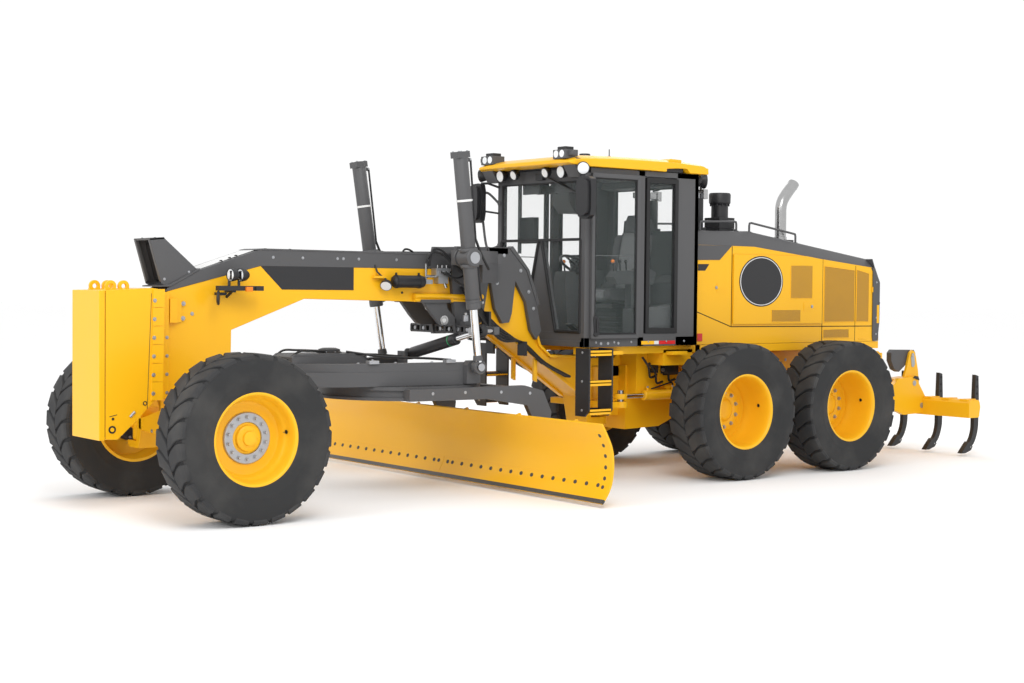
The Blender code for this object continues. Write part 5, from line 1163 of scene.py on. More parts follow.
# ---- tandem axle --------------------------------------------------------------------------------
k = Kit()
k.rod((TANDEM_X, -0.655, HUB), (TANDEM_X, 0.655, HUB), 0.1245, YELLOW, 36)
k.prism([(-6.39, 0.52), (-6.34, 0.475), (-5.98, 0.475), (-5.93, 0.52), (-5.93, 0.798), (-6.39, 0.798)],
        -0.298, 0.298, "y", YELLOW)
k.lathe([(0, 0), (0.13, 0), (0.15, 0.02), (0.15, 0.04), (0, 0.04)], (-5.945, 0, 0.64), (1, 0, 0), YELLOW, 36)
case = arc(REAR, HUB, 0.173, 270, 90, 14) + arc(MID, HUB, 0.173, 90, -90, 14)
for s in (1, -1):
    k.prism(case, s * 0.642, s * 0.833, "y", YELLOW)
    k.prism(arc(REAR, HUB, 0.14, 270, 90, 14) + arc(MID, HUB, 0.14, 90, -90, 14), s * 0.833, s * 0.8345, "y",
            YELLOW)
    for x in (MID, REAR):
        k.lathe([(0, 0.0), (0.172, 0.0), (0.172, 0.022), (0.158, 0.03), (0.158, 0.086), (0, 0.086)],
                (x, s * 0.8345, HUB), (0, s, 0), YELLOW, 40)
    for i in range(11):
        x = -5.62 - 0.108 * i
        for z in (HUB + 0.155, HUB - 0.155):
            k.bolt((x, s * 0.834, z), (0, s, 0), 0.009)
    k.lathe([(0, 0), (0.17, 0), (0.19, 0.03), (0.19, 0.1), (0, 0.1)], (TANDEM_X, s * 0.54, HUB), (0, s, 0),
            YELLOW, 36)
k.make("tandem_look", BODY, 0.005, replaces="tandem_axle")

# ---- engine, in rough shape behind the hood doors -----------------------------------------------
k = Kit()
k.box((-7.45, -5.95), (-0.28, 0.28), (1.3005, 1.62), IRON)
k.box((-7.35, -6.05), (-0.2, 0.2), (1.6, 1.9), IRON)
k.box((-7.3, -6.1), (-0.16, 0.16), (1.88, 2.045), DARK)
k.box((-7.548, -7.47), (-0.338, 0.338), (1.32, 2.04), DARK)
k.lathe([(0, 0), (0.3, 0), (0.33, 0.03), (0.33, 0.05), (0, 0.05)], (-7.47, 0, 1.68), (1, 0, 0), DARK, 40)
for s in (1, -1):
    for i in range(6):
        x = -6.18 - 0.2 * i
        k.rod((x, s * 0.2, 1.8), (x, s * 0.29, 1.74), 0.035, IRON, 16)
        k.bolt((x - 0.1, s * 0.201, 1.86), (0, s, 0), 0.012)
    k.rod((-6.1, s * 0.3, 1.74), (-7.24, s * 0.3, 1.74), 0.036, IRON, 20)
    k.lathe([(0, 0), (0.05, 0), (0.056, 0.01), (0.056, 0.17), (0.045, 0.19), (0, 0.19)],
            (-6.45, s * 0.29, 1.4), (0, 0, 1), DARK, 28)
    k.lathe([(0, 0), (0.05, 0), (0.056, 0.01), (0.056, 0.17), (0.045, 0.19), (0, 0.19)],
            (-6.6, s * 0.29, 1.4), (0, 0, 1), WHITE, 28)
    k.lathe(eye_ring(0, 0.05, 0.08, 0.05, 0.02), (-6.85, s * 0.25, 1.88), (1, 0, 0), IRON, 28)
    k.rod((-5.8, s * 0.2, 1.45), (-5.95, s * 0.2, 1.45), 0.1, IRON, 24)
    k.tube(spline([(-6.12, s * 0.2, 1.95), (-6.00, s * 0.26, 1.9), (-5.9, s * 0.24, 1.7),
                   (-5.88, s * 0.2, 1.5)], 6), 0.03, HOSE, 14)
    for i in range(4):
        k.hose([(-6.2 - 0.25 * i, s * 0.21, 1.98), (-6.25 - 0.25 * i, s * 0.26, 1.94),
                (-6.3 - 0.25 * i, s * 0.25, 1.85)], 0.007, 5)
k.box((-5.95, -5.752), (-0.33, 0.33), (1.3005, 1.36), IRON)
k.make("engine_look", BODY, 0.006, replaces="engine_block")

# ---- hood ---------------------------------------------------------------------------------------
def perforate(mat):
    """Rows of small holes, darkened with painted shade."""
    tree = mat.node_tree
    shader = tree.nodes["Principled BSDF"]
    link = shader.inputs["Base Color"].links[0]
    source = link.from_socket
    place = tree.nodes.new("ShaderNodeTexCoord")
    cells = tree.nodes.new("ShaderNodeTexVoronoi")
    cells.inputs["Scale"].default_value = 95
    cells.inputs["Randomness"].default_value = 0.0
    tree.links.new(place.outputs["Object"], cells.inputs["Vector"])
    reach = tree.nodes.new("ShaderNodeMapRange")
    reach.inputs["From Min"].default_value = 0.5
    reach.inputs["From Max"].default_value = 0.36
    tree.links.new(cells.outputs["Distance"], reach.inputs["Value"])
    # the holes take a darker copy of the grille colour: painted shade behind the perforations
    mix = tree.nodes.new("ShaderNodeMix")
    mix.data_type = "RGBA"
    mix.inputs[7].default_value = (0.16, 0.075, 0.003, 1)
    tree.links.new(reach.outputs["Result"], mix.inputs[0])
    tree.links.new(source, mix.inputs[6])
    tree.links.new(mix.outputs[2], shader.inputs["Base Color"])


perforate(MESH)


def surround(k, outer, inner, low, high, mat):
    """Four strips between an outline of four points and a smaller one."""
    for i in range(4):
        j = (i + 1) % 4
        k.prism([outer[i], outer[j], inner[j], inner[i]], low, high, "y", mat)


def loft(k, rings, mat):
    """Joins matching closed rings with quads and closes both ends."""
    n = len(rings[0])
    verts = [p for ring in rings for p in ring]
    faces = []
    for i in range(len(rings) - 1):
        for j in range(n):
            m = (j + 1) % n
            faces.append((i * n + j, i * n + m, (i + 1) * n + m, (i + 1) * n + j))
    faces.append(tuple(range(n)))
    faces.append(tuple(range((len(rings) - 1) * n, len(rings) * n)))
    k.faces(verts, faces, mat)


LINE = [(-5.332, 2.305), (-6.16, 2.302), (-7.13, 2.199), (-8.03, 2.112)]
TOP = [(-5.332, 2.449), (-6.15, 2.466), (-7.13, 2.332), (-8.03, 2.209)]
k = Kit()
for s in (1, -1):
    y = (s * 0.588, s * 0.5995)
    k.prism([(-5.332, 1.302), (-5.332, 2.305), (-5.87, 2.303), (-5.87, 1.302)], *y, "y", YELLOW)
    k.prism([(-7.18, 1.302), (-7.18, 2.194), (-8.03, 2.112), (-8.148, 1.95), (-8.148, 1.302)], *y, "y",
            YELLOW)
    k.prism([(-5.87, 1.302), (-5.87, 1.52), (-7.18, 1.52), (-7.18, 1.302)], *y, "y", YELLOW)
    k.prism([(-5.87, 2.19), (-5.87, 2.303), (-6.16, 2.302), (-7.18, 2.194), (-7.18, 2.19)], *y, "y", YELLOW)
rings = []
for (x, low), (_, high) in zip(LINE, TOP):
    rings.append([(x, 0.5997, low), (x, 0.515, high - 0.012), (x, 0.49, high), (x, -0.49, high),
                  (x, -0.515, high - 0.012), (x, -0.5997, low), (x, -0.588, low), (x, -0.5, high - 0.02),
                  (x, 0.5, high - 0.02), (x, 0.588, low)])
loft(k, rings, GREY)
k.prism([(-8.028, 2.209), (-8.148, 1.95), (-8.148, 1.302), (-8.136, 1.302), (-8.136, 1.948), (-8.018, 2.203)],
        -0.5995, 0.5995, "y", GREY)
k.box((-5.344, -5.332), (-0.598, 0.598), (1.302, 2.3), GREY)
k.box((-5.344, -5.332), (-0.5, 0.5), (2.28, 2.44), GREY)
k.box((-6.97, -6.77), (0.2, 0.4), (2.33, 2.394), GREY)
k.box((-6.068, -5.832), (0.18, 0.42), (2.43, 2.484), DARK)
k.make("hood_shell", BODY, 0.005, replaces="engine_hood")

k = Kit()
for s in (1, -1):
    y, y2 = s * 0.5995, s * 0.6045
    k.prism([(-5.334, 2.151), (-5.66, 2.157), (-5.832, 2.303), (-5.334, 2.303)], y, y2, "y", GREY)
    k.prism([(-8.03, 2.11), (-8.06, 2.112), (-8.148, 1.948), (-8.148, 1.5), (-8.12, 1.304), (-8.045, 1.304),
             (-8.035, 1.35)], y, s * 0.612, "y", GREY)
    k.prism([(-8.00, 2.112), (-8.03, 2.112), (-8.15, 1.948), (-8.13, 1.93)], s * 0.5, s * 0.6, "y", GREY)
for s in (1, -1):
    for x0, x1, h in ((-5.495, -6.02, (2.452, 2.463)), (-6.21, -6.915, (2.458, 2.361))):
        a, b = (x0, s * 0.475, h[0] - 0.004), (x1, s * 0.475, h[1] - 0.004)
        top_a, top_b = (x0 - 0.006, s * 0.475, h[0] + 0.09), (x1 + 0.006, s * 0.475, h[1] + 0.092)
        pts = [a, (x0, s * 0.475, h[0] + 0.065), top_a, (x0 - 0.03, s * 0.475, h[0] + 0.094),
               (x1 + 0.03, s * 0.475, h[1] + 0.096), top_b, (x1, s * 0.475, h[1] + 0.065), b]
        k.tube(pts, 0.0115, GREY, 12)
        for p in (a, b):
            k.lathe(disc(0.024, 0.008), p, (0, 0, 1), GREY, 16)
k.make("hood_trim", BODY, 0.003)


def seam(k, start, stop, half, y0, y1):
    """A dark line on a side panel."""
    (xa, za), (xb, zb) = start, stop
    run = Vector((xb - xa, zb - za)).normalized() * half
    k.prism([(xa - run.y, za + run.x), (xa + run.y, za - run.x), (xb + run.y, zb - run.x),
             (xb - run.y, zb + run.x)], y0, y1, "y", SHADE_AND_SEAM)


k = Kit()   # seams, grilles, latches, handle, reflector
for s in (1, -1):
    y = s * 0.5995
    for start, stop, half in (((-5.838, 2.3), (-5.838, 1.478), 0.0045),
                              ((-5.838, 1.478), (-5.336, 1.636), 0.0045),
                              ((-5.838, 1.478), (-8.03, 1.468), 0.0045),
                              ((-7.215, 2.19), (-7.215, 1.31), 0.0045),
                              ((-7.75, 2.13), (-7.75, 1.31), 0.003)):
        seam(k, start, stop, half, y, s * 0.6008)
    for x0, x1, z0, z1 in ((-7.245, -7.735, 1.518, 2.117), (-7.768, -7.972, 1.517, 2.085),
                           (-7.235, -7.65, 1.345, 1.434)):
        slope = 0.04 if z1 > 2 else 0
        k.prism([(x0, z0), (x0, z1), (x1, z1 - slope), (x1, z0)], y, s * 0.6018, "y", MESH)
        k.tube([(x0, s * 0.601, z0), (x0, s * 0.601, z1), (x1, s * 0.601, z1 - slope), (x1, s * 0.601, z0),
                (x0, s * 0.601, z0)], 0.0035, YELLOW, 6)
    x, z = -5.68, 1.877
    k.box((x - 0.055, x + 0.055), (y, s * 0.6035), (z - 0.045, z + 0.045), YELLOW)
    k.box((x - 0.045, x + 0.045), (y, s * 0.6055), (z - 0.012, z + 0.012), YELLOW)
    k.bolt((x + 0.06, s * 0.6, z), (0, s, 0), 0.012)
    k.prism([(-5.357, 2.111), (-5.514, 2.113), (-5.458, 2.046), (-5.357, 2.045)], y, s * 0.6015, "y", DARK)
    k.box((-5.358, -5.425), (y, s * 0.606), (1.337, 1.414), RED)
    k.box((-8.1, -8.135), (s * 0.605, s * 0.6145), (1.5, 1.7), YELLOW)
    k.box((-8.02, -8.04), (s * 0.602, s * 0.612), (1.84, 1.9), YELLOW)
    k.rod((-8.13, s * 0.585, 1.72), (-8.148, s * 0.585, 1.72), 0.03, PLASTIC, 20)
    for x in (-7.845, -7.9):
        for z in (1.33, 1.44):
            k.box((x - 0.03, x + 0.03), (y, s * 0.603), (z - 0.006, z + 0.006), YELLOW)
    for z in (1.38, 1.56, 1.95):
        k.bolt((-8.09, s * 0.612, z), (0, s, 0), 0.008)
k.make("hood_details", BODY, 0)

for side, word in SIDES:
    s, BODY = side, f"hood_door_{word}"
    k = Kit()
    k.prism([(-5.852, 1.502), (-5.852, 2.218), (-6.95, 2.218), (-7.198, 2.188), (-7.198, 1.502)], s * 0.601,
            s * 0.616, "y", YELLOW)
    k.make(f"hood_door_look_{word}", BODY, 0.003, replaces=f"hood_door_{word}")
    k = Kit()
    y = s * 0.616
    turns = [2 * math.pi * i / 64 for i in range(64)]
    oval = [(-6.255 + 0.325 * math.cos(t), 1.945 + 0.262 * math.sin(t)) for t in turns]
    k.prism(oval, y, s * 0.6178, "y", DARK)
    k.lathe([(0.955, -0.001), (0.985, -0.001), (0.985, 0.003), (0.955, 0.003)], (-6.255, s * 0.6165, 1.945),
            (0, s, 0), WHITE, 64, ring=True)
    for v in k.bm.verts[-256:]:   # the round rim becomes the oval's
        v.co.x = (v.co.x - FX + 6.255) * 0.316 - 6.255 + FX
        v.co.z = (v.co.z - 1.945) * 0.253 + 1.945
    for x0, x1, z0, z1 in ((-6.7, -7.035, 1.773, 2.116), (-6.415, -6.855, 1.525, 1.648)):
        k.box((x0, x1), (y, s * 0.6182), (z0, z1), MESH)
        k.tube([(x0, s * 0.6175, z0), (x0, s * 0.6175, z1), (x1, s * 0.6175, z1), (x1, s * 0.6175, z0),
                (x0, s * 0.6175, z0)], 0.003, YELLOW, 6)
    x, z = -6.96, 1.684
    k.box((x - 0.055, x + 0.055), (y, s * 0.6195), (z - 0.045, z + 0.045), YELLOW)
    k.box((x - 0.045, x + 0.045), (y, s * 0.6215), (z - 0.012, z + 0.012), YELLOW)
    k.bolt((x - 0.075, s * 0.6165, z), (0, s, 0), 0.012)
    for z in (1.66, 2.06):
        k.rod((-5.862, s * 0.6125, z - 0.03), (-5.862, s * 0.6125, z + 0.03), 0.0065, YELLOW, 12)
    k.make(f"hood_door_details_{word}", BODY, 0)
BODY = "rear_frame"

# ---- exhaust and intake -------------------------------------------------------------------------
k = Kit()
path = spline([(-6.87, 0.3, 2.42), (-6.87, 0.3, 2.62), (-6.872, 0.3, 2.74), (-6.9, 0.3, 2.82),
               (-6.97, 0.3, 2.905), (-7.04, 0.3, 2.975)], 7)
k.tube(path, 0.061, STEEL, 36)
end = Vector((-7.04, 0.3, 2.975))
way = Vector((-0.64, 0, 0.768)).normalized()
k.lathe([(0.061, -0.01), (0.0612, 0.03), (0.0605, 0.045), (0.0555, 0.045), (0.0555, -0.01)], end, way, STEEL,
        36, ring=True)
# a near-black disc in the pipe's mouth: painted shade of its inside
k.lathe(disc(0.056, 0.002), end + way * 0.02, way, SHADE_AND_SEAM, 36)
k.lathe([(0, 0.0), (0.068, 0.0), (0.068, 0.03), (0.062, 0.034), (0, 0.034)], (-6.87, 0.3, 2.3955), (0, 0, 1),
        STEEL, 36)
k.make("exhaust_look", BODY, 0, replaces="exhaust_stack")
k = Kit()
k.box((-6.06, -5.84), (0.19, 0.41), (2.486, 2.6), DARK)
k.lathe([(0, 0), (0.088, 0), (0.088, 0.13), (0.112, 0.155), (0.114, 0.24), (0.104, 0.258), (0, 0.262)],
        (-5.95, 0.3, 2.598), (0, 0, 1), PLASTIC, 36)
for i in range(12):
    t = 2 * math.pi * i / 12
    k.box((-5.95 + 0.098 * math.cos(t) - 0.006, -5.95 + 0.098 * math.cos(t) + 0.006),
          (0.3 + 0.098 * math.sin(t) - 0.006, 0.3 + 0.098 * math.sin(t) + 0.006), (2.72, 2.765), PLASTIC)
k.make("intake_look", BODY, 0.003, replaces="air_intake")

# ---- cab frame ----------------------------------------------------------------------------------
BODY = "rear_frame"
k = Kit()
k.box((-5.278, -3.802), (-0.678, 0.678), (1.302, 1.358), GREY)
for s in (1, -1):
    y = (s * 0.63, s * 0.679)
    k.prism([(s * 0.679, 1.302), (s * 0.679, 2.998), (s * 0.612, 2.998), (s * 0.612, 1.302)], -3.868, -3.802,
            "x", GREY)
    k.box((-4.558, -4.476), y, (1.302, 2.998), GREY)
    k.prism([(-4.985, 1.302), (-4.985, 2.998), (-5.278, 2.998), (-5.278, 1.302)], *y, "y", GREY)
    k.box((-5.278, -3.802), y, (1.302, 1.392), GREY)
    k.box((-5.278, -3.802), y, (2.945, 2.998), GREY)
    k.box((-5.278, -5.225), (s * 0.545, s * 0.679), (1.302, 2.998), GREY)
    k.box((-4.99, -4.55), y, (1.39, 1.425), GREY)
    k.prism([(-4.46, 1.36), (-4.46, 1.66), (-5.2, 1.72), (-5.2, 1.36)], s * 0.48, s * 0.628, "y", TRIM)
    k.prism([(-5.225, 1.36), (-5.225, 2.0), (-5.05, 1.92), (-5.02, 1.36)], s * 0.2, s * 0.628, "y", TRIM)
k.box((-3.868, -3.804), (-0.64, 0.64), (2.872, 2.998), GREY)
k.box((-3.868, -3.806), (-0.62, 0.62), (1.302, 1.438), GREY)
k.prism([(-0.022, 2.32), (-0.25, 1.42), (0.25, 1.42), (0.022, 2.32)], -3.856, -3.808, "x", GREY)
k.box((-5.278, -5.225), (-0.6, 0.6), (1.302, 1.6), GREY)
k.box((-5.278, -5.225), (-0.6, 0.6), (2.885, 2.998), GREY)
k.box((-5.22, -3.87), (-0.62, 0.62), (2.952, 2.996), TRIM_PALE)
k.box((-5.2, -3.88), (-0.6, 0.6), (1.358, 1.372), PLASTIC)
for i in range(26):
    k.box((-3.93 - 0.022 * i, -3.94 - 0.022 * i), (-0.56, 0.56), (1.37, 1.376), PLASTIC)
k.make("cab_shell", BODY, 0.006, replaces="cab_frame")

k = Kit()   # rubber edges of the fixed windows, sill bolts, blank sill labels
for s in (1, -1):
    y = (s * 0.64, s * 0.6885)
    ring = [(-4.575, 1.425), (-4.575, 2.935), (-4.995, 2.935), (-4.995, 1.425)]
    inner = [(-4.618, 1.478), (-4.618, 2.888), (-4.952, 2.888), (-4.952, 1.478)]
    surround(k, ring, inner, *y, SEAL)
    for a, b in (((0.02, 2.318), (0.248, 1.436)), ((0.612, 2.318), (0.612, 1.436)),
                 ((0.248, 1.445), (0.612, 1.445))):
        p, q = Vector((-3.806, s * a[0], a[1])), Vector((-3.806, s * b[0], b[1]))
        k.tube([p, q], 0.017, SEAL, 10)
    k.tube([(-3.806, s * 0.604, 2.334), (-3.806, s * 0.604, 2.868)], 0.012, SEAL, 10)
    for x in (-3.95, -4.18, -4.4, -4.62, -4.86, -5.1):
        k.bolt((x, s * 0.679, 1.345), (0, s, 0), 0.008)
    for x in (-4.01, -4.1, -4.23):
        k.lathe(disc(0.014, 0.006), (x, s * 0.679, 1.335), (0, s, 0), ZINC, 16)
    k.box((-4.53, -4.7), (s * 0.679, s * 0.681), (1.318, 1.352), YELLOW)
    k.box((-4.7, -4.76), (s * 0.679, s * 0.681), (1.318, 1.352), WHITE)
    k.box((-4.76, -4.98), (s * 0.679, s * 0.681), (1.318, 1.352), RED)
    k.box((-3.95, -4.28), (s * 0.6, s * 0.7), (1.226, 1.262), YELLOW)
    k.box((-4.93, -5.13), (s * 0.6, s * 0.7), (1.21, 1.245), YELLOW)
k.box((-3.822, -3.795), (-0.612, 0.612), (2.308, 2.334), SEAL)
k.box((-3.812, -3.796), (-0.604, 0.604), (2.862, 2.876), SEAL)
for z in (1.6, 2.88):
    k.box((-5.285, -5.262), (-0.55, 0.55), (z - 0.012, z + 0.012), SEAL)
for s in (1, -1):
    k.box((-5.285, -5.262), (s * 0.535, s * 0.555), (1.6, 2.88), SEAL)
k.make("cab_seals", BODY, 0.003)

k = Kit()
k.box((-3.829, -3.821), (-0.598, 0.598), (2.333, 2.868), GLASS)
for s in (1, -1):
    k.prism([(s * 0.024, 2.31), (s * 0.252, 1.444), (s * 0.598, 1.444), (s * 0.598, 2.31)], -3.829, -3.821,
            "x", GLASS)
k.make("windshield_look", BODY, 0, replaces="windshield")
k = Kit()
k.box((-5.259, -5.251), (-0.538, 0.538), (1.602, 2.878), GLASS)
k.make("rear_window_look", BODY, 0, replaces="rear_window")
for s, word in SIDES:
    k = Kit()
    k.box((-4.955, -4.612), (s * 0.651, s * 0.659), (1.475, 2.892), GLASS)
    k.make(f"side_window_look_{word}", BODY, 0, replaces=f"side_window_{word}")

# ---- cab interior -------------------------------------------------------------------------------
k = Kit()
k.prism([(-4.1, 1.37), (-4.27, 1.37), (-4.235, 1.94), (-4.18, 2.02), (-4.07, 2.02), (-4.05, 1.92)], -0.088,
        0.088, "y", TRIM)
k.box((-4.09, -3.9), (-0.16, 0.16), (1.37, 1.43), TRIM)
for s in (1, -1):
    k.prism([(-4.16, 1.42), (-3.99, 1.52), (-3.97, 1.505), (-4.13, 1.4)], s * 0.19, s * 0.29, "y", PLASTIC)
wheel = Vector((-4.27, 0, 2.08))
tilt = Vector((-0.55, 0, 0.83)).normalized()
ring = [(0.175 + 0.014 * math.cos(2 * math.pi * i / 10),
         0.014 * math.sin(2 * math.pi * i / 10)) for i in range(10)]
k.lathe(ring, wheel, tilt, PLASTIC, 40, ring=True)
k.rod(wheel - tilt * 0.1, wheel + tilt * 0.012, 0.035, PLASTIC, 20)
for t in (0.5, 2.6, 4.71):
    u = tilt.cross(Vector((0, 1, 0))).normalized()
    k.rod(wheel, wheel + (u * math.sin(t) + Vector((0, 1, 0)) * math.cos(t)) * 0.172, 0.011, PLASTIC, 10)
for s in (1, -1):
    k.prism([(-4.42, 1.9), (-4.9, 1.9), (-4.94, 2.02), (-4.88, 2.05), (-4.44, 2.03), (-4.38, 1.97)], s * 0.31,
            s * 0.44, "y", TRIM)
    k.box((-4.88, -4.62), (s * 0.33, s * 0.42), (1.42, 1.91), TRIM)
    for i, x in enumerate((-4.43, -4.52, -4.6)):
        k.rod((x, s * 0.375, 2.03), (x + 0.01, s * 0.375, 2.11), 0.009, PLASTIC, 10)
        k.ball((x + 0.012, s * 0.375, 2.125), 0.019, PLASTIC if i else AMBER, 12)
    k.box((-4.8, -4.7), (s * 0.34, s * 0.41), (2.045, 2.056), PLASTIC)
    for i in range(4):
        k.box((-4.79 + 0.02 * i, -4.78 + 0.02 * i), (s * 0.35, s * 0.4), (2.056, 2.061), WHITE)
k.box((-3.98, -4.05), (-0.55, -0.33), (2.3, 2.56), PLASTIC)
k.box((-4.05, -4.052), (-0.535, -0.345), (2.32, 2.54), SMOKE)
k.rod((-3.99, -0.56, 2.2), (-3.99, -0.56, 2.92), 0.02, TRIM, 12)
k.prism([(-4.4, 2.95), (-4.42, 2.72), (-4.5, 2.62), (-4.78, 2.62), (-4.86, 2.95)], -0.58, -0.3, "y", TRIM)
k.box((-3.98, -4.00), (-0.28, 0.02), (2.78, 2.86), PLASTIC)
k.box((-3.9, -3.93), (0.1, 0.36), (2.78, 2.94), TRIM)
k.box((-3.9, -3.93), (-0.4, -0.14), (2.78, 2.94), TRIM)
k.prism([(-5.22, 2.875), (-5.05, 2.885), (-5.02, 2.95), (-5.22, 2.95)], -0.56, 0.56, "y", TRIM)
k.box((-5.2, -5.00), (-0.45, -0.22), (1.37, 1.85), TRIM_PALE)
k.box((-5.15, -4.9), (0.22, 0.47), (1.37, 1.62), TRIM_PALE)
for i in range(6):
    k.box((-5.13 + 0.035 * i, -5.115 + 0.035 * i), (0.468, 0.474), (1.42, 1.58), PLASTIC)
k.rod((-4.985, 0.3, 2.0), (-4.96, 0.28, 2.45), 0.018, PLASTIC, 10)
k.box((-4.7, -4.705), (-0.6, -0.4), (1.36, 2.2), TRIM)
k.make("cab_interior", BODY, 0.006)

k = Kit()   # seat: base, cushion, back with bolsters, headrest
k.prism([(-4.64, 1.3605), (-4.96, 1.3605), (-4.9, 1.5), (-4.94, 1.66), (-4.64, 1.66), (-4.68, 1.5)], -0.17,
        0.17, "y", PLASTIC)
for z in (1.4, 1.45, 1.5, 1.55, 1.6):
    k.box((-4.955, -4.635), (-0.18, 0.18), (z, z + 0.02), PLASTIC)
k.box((-4.98, -4.54), (-0.235, 0.235), (1.655, 1.705), PLASTIC)
k.prism([(-5.03, 1.74), (-5.12, 2.5), (-5.095, 2.56), (-5.07, 2.55), (-4.99, 1.74)], -0.2, 0.2, "y", PLASTIC)
k.make("seat_base", BODY, 0.006, replaces="operator_seat")


def cushion(name, stations, mat):
    """A stuffed shape: each station has a middle, two half sizes and the directions across it."""
    k = Kit()
    rings = []
    for at, wide, deep, up in stations:
        at, up = Vector(at), Vector(up).normalized()
        ring = []
        for i in range(28):
            t = 2 * math.pi * i / 28
            c, sn = math.cos(t), math.sin(t)
            ring.append(at + Vector((0, 1, 0)) * (wide * math.copysign(abs(c) ** 0.45,
                    c)) + up * (deep * math.copysign(abs(sn) ** 0.55, sn)))
        rings.append(ring)
    loft(k, rings, mat)
    obj = k.make(name, BODY, bevel=0, angle=70)
    return obj


def row(a, b, count, wide, deep, up):
    """Stations from a to b with soft rounded ends."""
    a, b = Vector(a), Vector(b)
    out = []
    for i in range(count + 1):
        t = i / count
        e = min(t, 1 - t) * count
        shrink = (0.55, 0.86, 0.97, 1.0)[min(3, int(e))] if e < 3 else 1.0
        dip = 1.0 - 0.1 * math.sin(math.pi * t) * 0.5
        out.append((a + (b - a) * t, wide * (0.9 + 0.1 * shrink), deep * shrink * dip, up))
    return out


cushion("seat_cushion", row((-4.485, 0, 1.785), (-4.985, 0, 1.765), 12, 0.165, 0.068, (0.04, 0, 1)),
        TRIM_PALE)
cushion("seat_backrest", row((-4.945, 0, 1.86), (-5.045, 0, 2.42), 12, 0.165, 0.052, (1, 0, 0.17)), TRIM_PALE)
for s, word in SIDES:
    cushion(f"seat_bolster_{word}", row((-4.49, s * 0.205, 1.8), (-4.985, s * 0.205, 1.785), 12, 0.048, 0.07,
            (0.04, 0, 1)), FABRIC)
    cushion(f"back_bolster_{word}", row((-4.935, s * 0.2, 1.88), (-5.035, s * 0.2, 2.4), 12, 0.046, 0.062,
            (1, 0, 0.17)), FABRIC)
cushion("seat_headrest", row((-5.045, 0, 2.43), (-5.075, 0, 2.6), 8, 0.135, 0.048, (1, 0, 0.17)), FABRIC)

# ---- roof ---------------------------------------------------------------------------------------
k = Kit()
rings = []
for x, low, edge, high in ((-3.575, 3.028, 3.045, 3.062), (-3.62, 3.012, 3.06, 3.082),
                           (-3.75, 3.006, 3.07, 3.112), (-4.15, 3.004, 3.085, 3.124),
                           (-4.5, 3.004, 3.09, 3.129), (-4.95, 3.04, 3.09, 3.128), (-5.3, 3.04, 3.075, 3.105),
                           (-5.36, 3.03, 3.05, 3.07)):
    wide = 0.728 if x < -3.6 else 0.7
    rings.append([(x, wide, low), (x, wide, edge), (x, wide - 0.05, high - 0.012), (x, wide - 0.16, high),
                  (x, -wide + 0.16, high), (x, -wide + 0.05, high - 0.012), (x, -wide, edge),
                  (x, -wide, low)])
loft(k, rings, YELLOW)
for s in (1, -1):
    k.prism([(-3.7, 3.004), (-3.7, 3.03), (-4.78, 3.03), (-4.795, 3.062), (-4.8, 3.002)], s * 0.6, s * 0.729,
            "y", YELLOW)
    k.prism([(-4.5, 3.004), (-4.5, 3.03), (-4.79, 3.05), (-4.79, 2.999)], s * 0.69, s * 0.7295, "y", YELLOW)
    k.prism([(-5.05, 3.06), (-5.36, 3.06), (-5.365, 2.999), (-5.11, 2.999)], s * 0.55, s * 0.7295, "y",
            YELLOW)
    k.prism([(-4.83, 3.1), (-5.02, 3.1), (-5.02, 3.128), (-4.87, 3.132)], s * 0.46, s * 0.7, "y", YELLOW)
    k.box((-5.05, -4.8), (s * 0.6, s * 0.69), (3.002, 3.045), DARK)
k.box((-5.3, -3.72), (-0.6, 0.6), (3.0007, 3.03), DARK)
k.make("roof_look", BODY, 0.008, 3, replaces="cab_roof")

